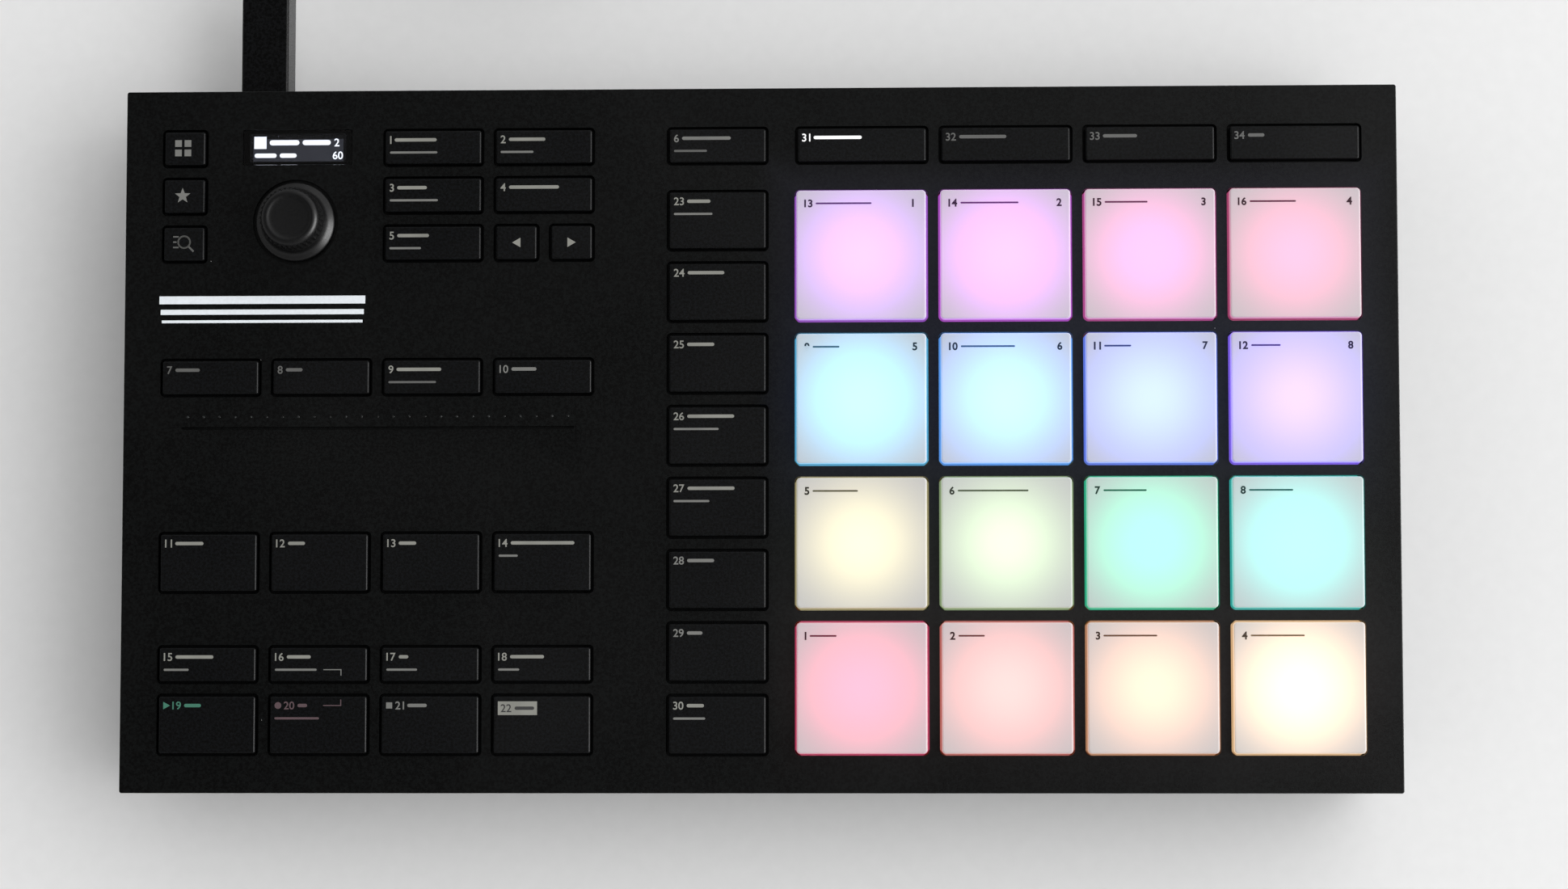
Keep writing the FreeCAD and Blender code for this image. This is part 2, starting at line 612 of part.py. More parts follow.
def flatted_rod(place, radius, flat, bottom, top):
    """An upright rod with two flats."""
    between = box(Vector(place.x, place.y, bottom), (2 * flat, 2 * radius, top - bottom))
    return rod(place, radius, bottom, top).common(between)


def encoder_rotor():
    """The contact ring that turns with the shaft, while the shaft slides through it."""
    place = from_corner(ENCODER_X, ENCODER_Y)
    ring = rod(place, ROTOR_RADIUS, ROTOR_BOTTOM, ROTOR_TOP)
    sizes = (SHAFT_TAIL_RADIUS + RUNNING_GAP, SHAFT_FLAT + RUNNING_GAP)
    return ring.cut(flatted_rod(place, *sizes, ROTOR_BOTTOM, ROTOR_TOP))


def encoder_shaft():
    """The steel shaft, with two flats on its tail."""
    place = from_corner(ENCODER_X, ENCODER_Y)
    shaft = rod(place, SHAFT_RADIUS, SHAFT_SHOULDER, SHAFT_TOP)
    tail = flatted_rod(place, SHAFT_TAIL_RADIUS, SHAFT_FLAT, SHAFT_END, SHAFT_SHOULDER)
    return joined([shaft, tail])


def knurled_band(place):
    """The knob's band of upright teeth."""
    corners = []
    for i in range(2 * KNURL_TEETH):
        radius = KNURL_RADIUS - KNURL_DEPTH * (i % 2)
        angle = math.pi * i / KNURL_TEETH
        corner = Vector(radius * math.cos(angle), radius * math.sin(angle), KNURL_BOTTOM)
        corners.append(corner + place)
    face = Part.Face(Part.makePolygon(corners + corners[:1]))
    return face.extrude(Vector(0, 0, KNURL_TOP - KNURL_BOTTOM))


def encoder_knob():
    """The push knob: a flared skirt, a knurled band and a cap with a dished top."""
    place = from_corner(ENCODER_X, ENCODER_Y)
    band = KNURL_RADIUS - KNURL_DEPTH
    flare = [(radius, KNOB_BOTTOM + height) for radius, height in KNOB_FLARE]
    cap = [(radius, KNOB_TOP - depth) for radius, depth in KNOB_CAP]
    profile = [*flare, (band, KNURL_BOTTOM), (band, KNURL_TOP), *cap]
    body = joined([turned(profile, place), knurled_band(place)])
    bore = rod(place, SHAFT_RADIUS, KNOB_BOTTOM, SHAFT_TOP)
    radius, depth = KNOB_HOLLOW
    return body.cut([bore, rod(place, radius, KNOB_BOTTOM, KNOB_BOTTOM + depth)])


def lying(profile, start, along):
    """A round piece from its profile of radii and distances, along a level axis."""
    upright = turned(profile, Vector(0, 0, 0))
    upright.rotate(Vector(0, 0, 0), Vector(0, 1, 0), 90)
    upright.rotate(Vector(0, 0, 0), Vector(0, 0, 1), math.degrees(math.atan2(along.y, along.x)))
    upright.translate(start)
    return upright


def ribbed_relief(length, radii):
    """A strain relief's profile: it tapers from the plug to the cord, with grooves between ribs."""
    profile = [(0.0, 0.0), (radii[0], 0.0)]
    step = length / RELIEF_RIBS
    for i in range(1, RELIEF_RIBS):
        radius = radii[0] + (radii[1] - radii[0]) * i / RELIEF_RIBS
        low, high = step * (i - 0.15), step * (i + 0.15)
        deep = radius - RELIEF_GROOVE
        profile += [(radius, low), (deep, low), (deep, high), (radius, high)]
    return profile + [(radii[1], length), (0.0, length)]


def usb_plug():
    """The type B plug in the back: steel shell, moulded grip and strain relief."""
    place = from_corner(SOCKET_X, 0)
    centre = BOARD_BOTTOM - SOCKET_HEIGHT / 2
    size = (PLUG_WIDTH, PLUG_LENGTH, PLUG_HEIGHT)
    grip = box(Vector(place.x, PLUG_BACK + PLUG_LENGTH / 2, centre - PLUG_HEIGHT / 2), size)
    long_edges = [e for e in grip.Edges if abs(e.Vertexes[0].Y - e.Vertexes[1].Y) > 1]
    grip = grip.makeFillet(PLUG_ROUND, long_edges)
    end = PLUG_BACK + PLUG_LENGTH
    relief = lying(
        ribbed_relief(RELIEF_LENGTH, RELIEF_RADII), Vector(place.x, end, centre), Vector(0, 1, 0)
    )
    width, height, wall = PLUG_SHELL
    middle = Vector(place.x, PLUG_BACK - PLUG_SHELL_LENGTH / 2, centre - height / 2)
    shell = box(middle, (width, PLUG_SHELL_LENGTH, height))
    hollow = box(
        middle + Vector(0, 0, wall), (width - 2 * wall, PLUG_SHELL_LENGTH, height - 2 * wall)
    )
    return Part.makeCompound([joined([grip, relief]), shell.cut(hollow)])


def along_x(start, size, middle_z=0.0):
    """A block that runs along X from start, centred on the X axis sideways: length, width, height."""
    length, width, height = size
    return Part.makeBox(length, width, height, Vector(start, -width / 2, middle_z - height / 2))


def computer_plug():
    """The type A plug on the cord's far end, lying flat behind the case."""
    end = Vector(*ROUTE_OUT[-1])
    along = end - Vector(*ROUTE_OUT[-2])
    relief = turned(ribbed_relief(COMPUTER_RELIEF, RELIEF_RADII[::-1]), Vector(0, 0, 0))
    relief.rotate(Vector(0, 0, 0), Vector(0, 1, 0), 90)
    grip = along_x(COMPUTER_RELIEF, COMPUTER_GRIP)
    grip = grip.makeFillet(PLUG_ROUND, [e for e in grip.Edges if abs(e.tangentAt(0).x) > 0.5])
    start = COMPUTER_RELIEF + COMPUTER_GRIP[0]
    walls = 2 * COMPUTER_SHELL_WALL
    length, width, height = COMPUTER_SHELL
    mouth = (length - COMPUTER_SHELL_BACK, width - walls, height - walls)
    shell = along_x(start, COMPUTER_SHELL).cut(along_x(start + COMPUTER_SHELL_BACK, mouth))
    tongue = along_x(start + COMPUTER_SHELL_BACK / 2, COMPUTER_TONGUE, -COMPUTER_TONGUE[2] / 2)
    plug = Part.makeCompound([joined([grip, relief]), shell.fuse(tongue)])
    plug.rotate(Vector(0, 0, 0), Vector(0, 0, 1), math.degrees(math.atan2(along.y, along.x)))
    plug.translate(end)
    return plug


def route_edges(points):
    """Straight runs joined by tangent arcs, each as large as its two runs allow."""
    points = [Vector(*p) for p in points]
    edges = []
    last = points[0]
    radii = []
    for before, corner, after in zip(points, points[1:], points[2:]):
        back = before - corner
        ahead = after - corner
        trim = 0.45 * min(back.Length, ahead.Length)
        half_turn = (math.pi - back.getAngle(ahead)) / 2
        radii.append(trim / math.tan(half_turn))
        start = corner + back * (trim / back.Length)
        end = corner + ahead * (trim / ahead.Length)
        middle = back * (1 / back.Length) + ahead * (1 / ahead.Length)
        inward = radii[-1] / math.cos(half_turn) - radii[-1]
        top = corner + middle * (inward / middle.Length)
        edges.append(Part.LineSegment(last, start).toShape())
        edges.append(Part.Arc(start, top, end).toShape())
        last = end
    edges.append(Part.LineSegment(last, points[-1]).toShape())
    print("route radii:", [round(r, 1) for r in radii])
    return edges


def coil_point(turn):
    """Where the coil's centre line is after this many turns, clockwise from the back."""
    quarter = COIL_TURNS / 4
    layer, along = divmod(turn, quarter)
    inward = along if layer % 2 == 0 else quarter - along
    radius = COIL_RADIUS - COIL_PITCH * inward
    height = CORD_LOW
    for climb in (quarter, 2 * quarter, 3 * quarter):
        share = min(max(2 * (turn - climb) + 0.5, 0.0), 1.0)
        height += COIL_LAYER * share * share * (3 - 2 * share)
    angle = math.pi / 2 - 2 * math.pi * turn
    return COIL_CENTRE + Vector(radius * math.cos(angle), radius * math.sin(angle), height)


def arc(start, leaving, end):
    """The arc that leaves start in a direction and reaches end, and its direction there."""
    chord = end - start
    turn = leaving.getAngle(chord)
    along = chord * (leaving.dot(chord) / chord.dot(chord))
    outward = (leaving - along).normalize()
    middle = (start + end) / 2 + outward * (chord.Length / 2 * math.tan(turn / 2))
    return Part.Arc(start, middle, end).toShape(), (along * 2 - leaving).normalize()


def biarc(start, leaving, end, arriving):
    """Two arcs that run smoothly into each other and join two points with given directions."""
    chord = end - start
    square = 2 * (1 - leaving.dot(arriving))
    cross = chord.dot(leaving + arriving)
    reach = (math.sqrt(cross * cross + square * chord.dot(chord)) - cross) / square
    meet = (start + end + (leaving - arriving) * reach) / 2
    first, direction = arc(start, leaving, meet)
    second, _ = arc(meet, direction, end)
    return [first, second]


def coil_edges():
    """The coil's turns, as biarcs of a quarter turn, with a straight lead at each end."""
    steps = [0.25 * i for i in range(4 * COIL_TURNS + 1)]
    points = [coil_point(t) for t in steps]
    tangents = []
    for t in steps:
        ahead = coil_point(min(t + 1e-4, COIL_TURNS))
        tangents.append((ahead - coil_point(max(t - 1e-4, 0))).normalize())
    tangents[0] = Vector(1, 0, 0)
    tangents[-1] = Vector(1, 0, 0)
    lead = Vector(COIL_LEAD, 0, 0)
    edges = [Part.LineSegment(points[0] - lead, points[0]).toShape()]
    for i in range(len(points) - 1):
        edges += biarc(points[i], tangents[i], points[i + 1], tangents[i + 1])
    edges.append(Part.LineSegment(points[-1], points[-1] + lead).toShape())
    return edges


def tube(edges):
    """The cord's round tube along a path."""
    path = Part.Wire(edges)
    start = path.Edges[0].Vertexes[0].Point
    circle = Part.Circle(start, path.Edges[0].tangentAt(path.Edges[0].FirstParameter), CORD_RADIUS)
    solid = path.makePipeShell([Part.Wire(circle.toShape())], True, False)
    section = math.pi * CORD_RADIUS**2 * path.Length
    print(f"tube {path.Length:.1f} mm, volume {solid.Volume:.0f}, section by length {section:.0f}")
    return solid


def least_gap(edges):
    """The least clear gap between the coil's turns, measured on points a millimetre apart."""
    points = []
    for edge in edges:
        points += edge.discretize(max(2, int(edge.Length)))[:-1]
    apart = 16  # points this close along the cord are one stretch of it
    least = min(
        points[i].distanceToPoint(points[j])
        for i in range(0, len(points), 2)
        for j in range(i + apart, len(points))
    )
    return least - 2 * CORD_RADIUS


def main():
    os.makedirs("parts", exist_ok=True)
    turns = coil_edges()
    shapes = {
        "top_cover": top_cover(),
        "bottom_cover": bottom_cover(),
        "rubber_feet": rubber_feet(),
        "case_screws": case_screws(),
        "main_board": main_board(),
        "pad_sensor_sheet": pad_sensor_sheet(),
        "display_module": display_module(),
        "display_window": display_window(),
        "touch_strip": touch_strip(),
        "encoder_body": encoder_body(),
        "encoder_rotor": encoder_rotor(),
        "encoder_shaft": encoder_shaft(),
        "encoder_knob": encoder_knob(),
        "usb_plug": usb_plug(),
        "usb_cord": Part.makeCompound([tube(route_edges(ROUTE_IN)), tube(route_edges(ROUTE_OUT))]),
        "usb_cord_coil": tube(turns),
        "computer_plug": computer_plug(),
    }
    for number, place in pads().items():
        shapes[f"pad_{number}"] = pad(place)
    for name, caps in keys().items():
        shapes[name] = key_moulding(caps)
    print(f"least gap between the coil's turns {least_gap(turns):.2f} mm")
    for name, shape in shapes.items():
        bounds = shape.BoundBox
        print(
            f"{name}: {len(shape.Solids)} solids, valid {shape.isValid()}, "
            f"Z {bounds.ZMin:.2f} to {bounds.ZMax:.2f}, {shape.Volume:.0f} mm3"
        )
        shape.exportStep(f"parts/{name}.step")
    print(len(shapes), "pieces")


main()
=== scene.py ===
# %% [markdown]
# # A MIDI pad controller, dressed
#
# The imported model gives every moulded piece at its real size, and each piece already rides on the body
# that moves it. This notebook adds what a drawing office leaves out: how light sits on fine black plastic,
# how silicone pads glow over their lamps, the legends that shine through the keys, a smooth turned knob
# and one unbroken cord. Lengths are in metres. X runs right, Y to the back and Z up.

# %% The frame
import math

import bmesh
import bpy
from mathutils import Matrix, Vector


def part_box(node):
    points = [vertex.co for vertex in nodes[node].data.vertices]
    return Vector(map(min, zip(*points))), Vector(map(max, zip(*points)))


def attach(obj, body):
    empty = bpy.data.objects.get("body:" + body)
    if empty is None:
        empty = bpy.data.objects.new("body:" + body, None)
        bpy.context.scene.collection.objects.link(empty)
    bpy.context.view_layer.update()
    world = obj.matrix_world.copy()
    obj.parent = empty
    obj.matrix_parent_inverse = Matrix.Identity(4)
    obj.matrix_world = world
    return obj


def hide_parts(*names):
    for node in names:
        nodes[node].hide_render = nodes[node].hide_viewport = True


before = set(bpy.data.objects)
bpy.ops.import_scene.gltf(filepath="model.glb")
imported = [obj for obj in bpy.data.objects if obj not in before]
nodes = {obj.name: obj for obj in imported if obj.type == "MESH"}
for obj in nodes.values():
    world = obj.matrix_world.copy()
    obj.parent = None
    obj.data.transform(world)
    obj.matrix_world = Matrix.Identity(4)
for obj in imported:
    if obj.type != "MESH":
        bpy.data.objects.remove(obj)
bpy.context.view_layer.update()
MM = 0.001
print("nodes in the frame:", len(nodes))

# %% [markdown]
# ## Where things are on the panel
#
# A panel is laid out from two of its edges, as a draughtsman does with a rule. One helper turns a distance
# from the left edge and one from the back edge into a point in the frame. The edges themselves are read
# from the top cover, so nothing here has to be fitted.

# %% Panel places
panel_low, panel_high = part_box("top_cover")
LEFT_EDGE = panel_low[0]
BACK_EDGE = panel_high[1]
PANEL_TOP = panel_high[2]


def from_corner(right, forward):
    """A point on the panel, that many millimetres from its left and back edges."""
    return Vector((LEFT_EDGE + right * MM, BACK_EDGE - forward * MM, PANEL_TOP))


print("panel width", round((panel_high[0] - panel_low[0]) / MM, 1), "mm")

# %% [markdown]
# ## The camera
#
# The picture is taken from almost straight above with a long lens. Fitting the panel's corners, the rows
# of pads and the way the knob's rim stands off its dish gave the eye's place and the small tilts below. A
# camera with no turn at all looks straight down its own negative Z, so three small turns are all it needs.

# %% Camera
EYE_MM = (37.7, -65.5, 908.1)
TILT_FORWARD = 4.029
TILT_SIDEWAYS = 1.960
ROLL = -0.168
IMAGE_WIDTH = 1940
FOCAL_PIXELS = 4503
SENSOR = 36.0


def add_object(name, data):
    """A new object in the scene that shows this data."""
    thing = bpy.data.objects.new(name, data)
    bpy.context.scene.collection.objects.link(thing)
    return thing


def make_camera():
    data = bpy.data.cameras.new("camera")
    data.sensor_width = SENSOR
    data.lens = FOCAL_PIXELS / IMAGE_WIDTH * SENSOR
    data.clip_start = 0.01
    camera = add_object("camera", data)
    eye = Vector(EYE_MM) * MM + Vector((0, 0, PANEL_TOP))
    turn = Matrix.Rotation(math.radians(TILT_FORWARD), 4, "X")
    turn = turn @ Matrix.Rotation(math.radians(TILT_SIDEWAYS), 4, "Y")
    turn = turn @ Matrix.Rotation(math.radians(ROLL), 4, "Z")
    camera.matrix_world = Matrix.Translation(eye) @ turn
    bpy.context.scene.camera = camera
    return camera


camera = make_camera()
print("lens", round(camera.data.lens, 1), "mm")

# %% [markdown]
# ## Table and light
#
# The object lies on a pale table in a room whose bright side is on its right. Nearly all the light comes
# from that half of the sky, so the world is bright towards the window and dark away from it, with a soft
# change overhead. The walls of a pale room add light from low down all round, which falls off with height.
# The black panel shows the same change as a faint veil on its right. A weak lamp at the window makes the
# table a little brighter near it. A second lamp shows only in reflections: it is the bright pane that the
# knob's flank and the keys' edges mirror. A camera ray that misses everything sees a plain pale backdrop.

# %% Node helpers
def new_material(name):
    """A material, its node tree and its main shader."""
    material = bpy.data.materials.new(name)
    material.use_nodes = True
    tree = material.node_tree
    return material, tree, tree.nodes["Principled BSDF"]


def plug(tree, socket, value):
    """Links an output to the socket, or sets the socket to a value."""
    if isinstance(value, bpy.types.NodeSocket):
        tree.links.new(value, socket)
    else:
        socket.default_value = value


def add_node(tree, kind, settings=(), **inputs):
    """A node with its settings made and its inputs set or linked. Spaces in names become underscores."""
    node = tree.nodes.new(kind)
    for key, value in dict(settings).items():
        setattr(node, key, value)
    for key, value in inputs.items():
        plug(tree, node.inputs[key.replace("_", " ")], value)
    return node


def number_sum(tree, operation, *values):
    """One Math node, and its result."""
    node = add_node(tree, "ShaderNodeMath", {"operation": operation})
    for socket, value in zip(node.inputs, values):
        plug(tree, socket, value)
    return node.outputs[0]


def vector_sum(tree, operation, *values):
    """One Vector Math node, and its result, which is a number for a length or a dot product."""
    numeric = operation in ("LENGTH", "DOT_PRODUCT")
    node = add_node(tree, "ShaderNodeVectorMath", {"operation": operation})
    for socket, value in zip(node.inputs, values):
        plug(tree, socket, value)
    return node.outputs["Value" if numeric else "Vector"]


def scaled(tree, vector, share):
    """A vector or colour times a number."""
    node = add_node(tree, "ShaderNodeVectorMath", {"operation": "SCALE"}, Scale=share)
    plug(tree, node.inputs[0], vector)
    return node.outputs[0]


def mixed(tree, share, low, high):
    """The colour between two colours."""
    node = add_node(tree, "ShaderNodeMix", {"data_type": "RGBA"})
    for place, value in zip((0, 6, 7), (share, low, high)):
        plug(tree, node.inputs[place], value)
    return node.outputs[2]


def ranged(tree, value, low, high, to_low, to_high, smooth=False):
    """A number carried from one range to another."""
    kind = "SMOOTHSTEP" if smooth else "LINEAR"
    node = add_node(
        tree, "ShaderNodeMapRange", {"interpolation_type": kind}, Value=value, From_Min=low, From_Max=high,
        To_Min=to_low, To_Max=to_high,
    )
    return node.outputs[0]


def object_place(tree):
    return add_node(tree, "ShaderNodeTexCoord").outputs["Object"]


def uneven(tree, scale, detail, low, high):
    """A number that drifts between two values from place to place."""
    noise = add_node(tree, "ShaderNodeTexNoise", Vector=object_place(tree), Scale=scale, Detail=detail)
    return ranged(tree, noise.outputs[0], 0, 1, low, high)


# %% Table
TABLE_SIZE = 6.0
TABLE_COLOUR = (0.76, 0.76, 0.76)
TABLE_GRAIN = 260.0
TABLE_SHADES = (0.97, 1.03)


def make_table():
    mesh = bpy.data.meshes.new("table")
    half = TABLE_SIZE / 2
    corners = [(-half, -half, 0), (half, -half, 0), (half, half, 0), (-half, half, 0)]
    mesh.from_pydata(corners, [], [(0, 1, 2, 3)])
    material, tree, shader = new_material("pale_table")
    shade = uneven(tree, TABLE_GRAIN, 3.0, *TABLE_SHADES)
    plug(tree, shader.inputs["Base Color"], scaled(tree, TABLE_COLOUR, shade))
    shader.inputs["Roughness"].default_value = 0.7
    shader.inputs["Specular IOR Level"].default_value = 0.2
    mesh.materials.append(material)
    add_object("table", mesh)


make_table()

# %% World and window
SKY_BRIGHT = 1.42
SKY_DARK = 0.24
HORIZON = 1.2
HORIZON_TOP = 0.85
SKY_SIDE = Vector((0.82, 0.38, 0.41)).normalized()
SKY_CHANGE = (0.27, 0.79)
BACKDROP = 0.62
WINDOW_PLACE = Vector((0.96, 0.06, 1.01))
WINDOW_WATTS = 5.0
GLINT_PLACE = Vector((1.15, -0.25, 0.72))
GLINT_WATTS = 72.0
LAMP_SIZE = 1.0
LAMP_AIM = Vector((0.1, 0.0, 0.0))


def make_world():
    world = bpy.data.worlds.new("room")
    bpy.context.scene.world = world
    world.use_nodes = True
    tree = world.node_tree
    background = tree.nodes["Background"]
    ray = add_node(tree, "ShaderNodeTexCoord").outputs["Generated"]
    toward = vector_sum(tree, "DOT_PRODUCT", ray, SKY_SIDE)
    sky = ranged(tree, toward, *SKY_CHANGE, SKY_DARK, SKY_BRIGHT, smooth=True)
    height = add_node(tree, "ShaderNodeSeparateXYZ", Vector=ray).outputs["Z"]
    room = number_sum(tree, "ADD", sky, ranged(tree, height, 0, HORIZON_TOP, HORIZON, 0))
    seen = add_node(tree, "ShaderNodeLightPath").outputs["Is Camera Ray"]
    strength = ranged(tree, seen, 0, 1, room, BACKDROP)
    plug(tree, background.inputs["Strength"], strength)
    background.inputs["Color"].default_value = (1.0, 1.0, 1.0, 1.0)


def make_lamp(name, place, watts):
    data = bpy.data.lights.new(name, "AREA")
    data.size = LAMP_SIZE
    data.energy = watts
    lamp = add_object(name, data)
    facing = (LAMP_AIM - place).to_track_quat("-Z", "Y")
    lamp.matrix_world = Matrix.Translation(place) @ facing.to_matrix().to_4x4()
    return lamp


make_world()
make_lamp("window", WINDOW_PLACE, WINDOW_WATTS)
glint = make_lamp("glint", GLINT_PLACE, GLINT_WATTS)
glint.visible_diffuse = False
glint.visible_camera = False
bpy.context.scene.view_settings.view_transform = "Standard"
print("window lamp of", WINDOW_WATTS, "W, and", GLINT_WATTS, "W in reflections")

# %% [markdown]
# ## Moulded black plastic
#
# The case is moulded in a tool with a fine spark-eroded grain, which breaks every reflection into a soft
# grey veil. A photograph of the surface would tie the finish to one size, so the grain is made from noise
# on Object coordinates: a fine noise bends the surface and mottles its gloss, a broad one varies the gloss
# from place to place, and a third makes the dye cloudy. Only the top cover also carries specks of dust,
# which the eye notices first on matte black.

# %% Plastic grain
GRAIN_SCALE = 3200.0
GRAIN_STRENGTH = 0.35
NOISE_REACH = (0.3, 0.7)  # nearly all values of a noise lie between these
MOTTLE = 0.05
HANDLING_SCALE = 24.0
TONE_SCALE = 1500.0
TONE_RANGE = (0.40, 0.60)
DUST_CELL = 9.0 * MM
DUST_RADIUS = 0.10 * MM
DUST_SHARE = 0.35
DUST_COLOUR = (0.30, 0.30, 0.29, 1.0)


def add_grain(tree, shader, place, depth, roughness, spread):
    """A fine bump, and a gloss that differs a little from place to place."""
    fine = add_node(tree, "ShaderNodeTexNoise", Vector=place, Scale=GRAIN_SCALE, Detail=2.0)
    bump = add_node(
        tree, "ShaderNodeBump", Height=fine.outputs[0], Strength=GRAIN_STRENGTH, Distance=depth * MM
    )
    plug(tree, shader.inputs["Normal"], bump.outputs[0])
    broad = add_node(tree, "ShaderNodeTexNoise", Vector=place, Scale=HANDLING_SCALE, Detail=3.0)
    gloss = ranged(tree, broad.outputs[0], *NOISE_REACH, roughness - spread, roughness + spread)
    mottle = ranged(tree, fine.outputs[0], *NOISE_REACH, -MOTTLE, MOTTLE)
    plug(tree, shader.inputs["Roughness"], number_sum(tree, "ADD", gloss, mottle))


def dusted(tree, place, colour):
    """A colour with pale specks: one small dot in some of the cells of a Voronoi pattern."""
    cells = add_node(tree, "ShaderNodeTexVoronoi", Vector=place, Scale=1 / DUST_CELL)
    near = number_sum(tree, "LESS_THAN", cells.outputs["Distance"], DUST_RADIUS / DUST_CELL)
    chosen = number_sum(tree, "LESS_THAN", cells.outputs["Color"], DUST_SHARE)
    return mixed(tree, number_sum(tree, "MULTIPLY", near, chosen), colour, DUST_COLOUR)


def moulded(name, colour, roughness=0.31, spread=0.04, depth=0.03, shine=0.12, cloud=1.0, dusty=False):
    """Dyed plastic or rubber with its tool's grain. Its colour varies by the share given as cloud."""
    material, tree, shader = new_material(name)
    place = object_place(tree)
    add_grain(tree, shader, place, depth, roughness, spread)
    tone = add_node(tree, "ShaderNodeTexNoise", Vector=place, Scale=TONE_SCALE, Detail=2.0)
    dyed = scaled(tree, colour, ranged(tree, tone.outputs[0], *TONE_RANGE, 1 - cloud, 1 + cloud))
    plug(tree, shader.inputs["Base Color"], dusted(tree, place, dyed) if dusty else dyed)
    shader.inputs["Specular IOR Level"].default_value = shine
    return material


def dress(node, material):
    """Gives a CAD node its finish."""
    slots = nodes[node].data.materials
    slots.clear()
    slots.append(material)


# %% Case, keys, feet and plug
BLACK = (0.0011, 0.0013, 0.0013)
KEY_BLACK = (0.0010, 0.0012, 0.0015)
RUBBER_BLACK = (0.012, 0.012, 0.012)
CORD_BLACK = (0.0050, 0.0050, 0.0052)
PLUG_BLACK = (0.0015, 0.0016, 0.0018)
panel_black = moulded("panel_black", BLACK, dusty=True)
dress("top_cover", panel_black)
dress("bottom_cover", moulded("case_black", BLACK))
dress("rubber_feet", moulded("foot_rubber", RUBBER_BLACK, roughness=0.85, shine=0.2))
cord_black = moulded("cord_black", CORD_BLACK, roughness=0.40, depth=0.01, shine=0.2)
dress("usb_plug", moulded("plug_black", PLUG_BLACK, roughness=0.28, depth=0.01, shine=0.1))
key_black = moulded("key_black", KEY_BLACK, roughness=0.42, spread=0.05, depth=0.015, shine=0.09)
key_nodes = [name for name in nodes if name.endswith("_key") or name.endswith("_keys")]
for name in key_nodes:
    dress(name, key_black)
print("key mouldings:", len(key_nodes))

# %% [markdown]
# ## Metal, board and film
#
# The pieces inside hardly show, but each has its own finish: drawn steel, a green board whose tracks run
# under the mask, amber film and nylon. The computer's plug is one node with a steel shell on a black grip,
# so its finish changes where the shell begins.

# %% Steel and nylon
STEEL = (0.55, 0.55, 0.56, 1.0)
STEEL_LINES = (900.0, 900.0, 60.0)
STEEL_GLOSS = (0.22, 0.44)
STEEL_SHADES = (0.8, 1.1)
NYLON = (0.55, 0.52, 0.45)


def zinc_steel():
    """Steel with fine lines along its length."""
    material, tree, shader = new_material("zinc_steel")
    drawn = add_node(tree, "ShaderNodeMapping", Vector=object_place(tree), Scale=STEEL_LINES)
    lines = add_node(tree, "ShaderNodeTexNoise", Vector=drawn.outputs[0], Scale=1.0, Detail=3.0)
    plug(tree, shader.inputs["Roughness"], ranged(tree, lines.outputs[0], 0, 1, *STEEL_GLOSS))
    shade = ranged(tree, lines.outputs[0], 0, 1, *STEEL_SHADES)
    plug(tree, shader.inputs["Base Color"], scaled(tree, STEEL[:3], shade))
    shader.inputs["Metallic"].default_value = 1.0
    return material


steel = zinc_steel()
for name in ("case_screws", "encoder_shaft", "encoder_body"):
    dress(name, steel)
dress("encoder_rotor", moulded("natural_nylon", NYLON, shine=0.4, cloud=0.1))

# %% Board and film
TRACK_SCALE = 160.0
BOARD_GREENS = {
    "Color1": (0.010, 0.075, 0.035, 1.0), "Color2": (0.012, 0.085, 0.040, 1.0),
    "Mortar": (0.030, 0.150, 0.070, 1.0),
}
AMBER = (0.40, 0.20, 0.05)


def circuit_board():
    material, tree, shader = new_material("circuit_board")
    tracks = add_node(
        tree, "ShaderNodeTexBrick", Vector=object_place(tree), Scale=TRACK_SCALE, Mortar_Size=0.012,
        **BOARD_GREENS,
    )
    plug(tree, shader.inputs["Base Color"], tracks.outputs["Color"])
    shader.inputs["Roughness"].default_value = 0.35
    return material


dress("main_board", circuit_board())
amber_film = moulded("amber_film", AMBER, roughness=0.3, shine=0.5, cloud=0.1)
dress("pad_sensor_sheet", amber_film)
dress("touch_strip", amber_film)

# %% The computer's plug
PLUG_START = Vector((0.0080, 0.1875, 0.0038))
PLUG_ALONG = Vector((0.0140, -0.0051, 0.0)).normalized()
GRIP_LENGTH = 38.1 * MM


def shell_on_grip():
    """Black up to the grip's end, then steel. The plug lies at a slant, so the change follows its line."""
    material = moulded("computer_plug_grip", CORD_BLACK, roughness=0.5, depth=0.02, shine=0.35)
    tree = material.node_tree
    shader = tree.nodes["Principled BSDF"]
    offset = vector_sum(tree, "SUBTRACT", object_place(tree), PLUG_START)
    reach = vector_sum(tree, "DOT_PRODUCT", offset, PLUG_ALONG)
    beyond = number_sum(tree, "GREATER_THAN", reach, GRIP_LENGTH)
    grip = shader.inputs["Base Color"].links[0].from_socket
    plug(tree, shader.inputs["Base Color"], mixed(tree, beyond, grip, STEEL))
    plug(tree, shader.inputs["Metallic"], beyond)
    return material


dress("computer_plug", shell_on_grip())
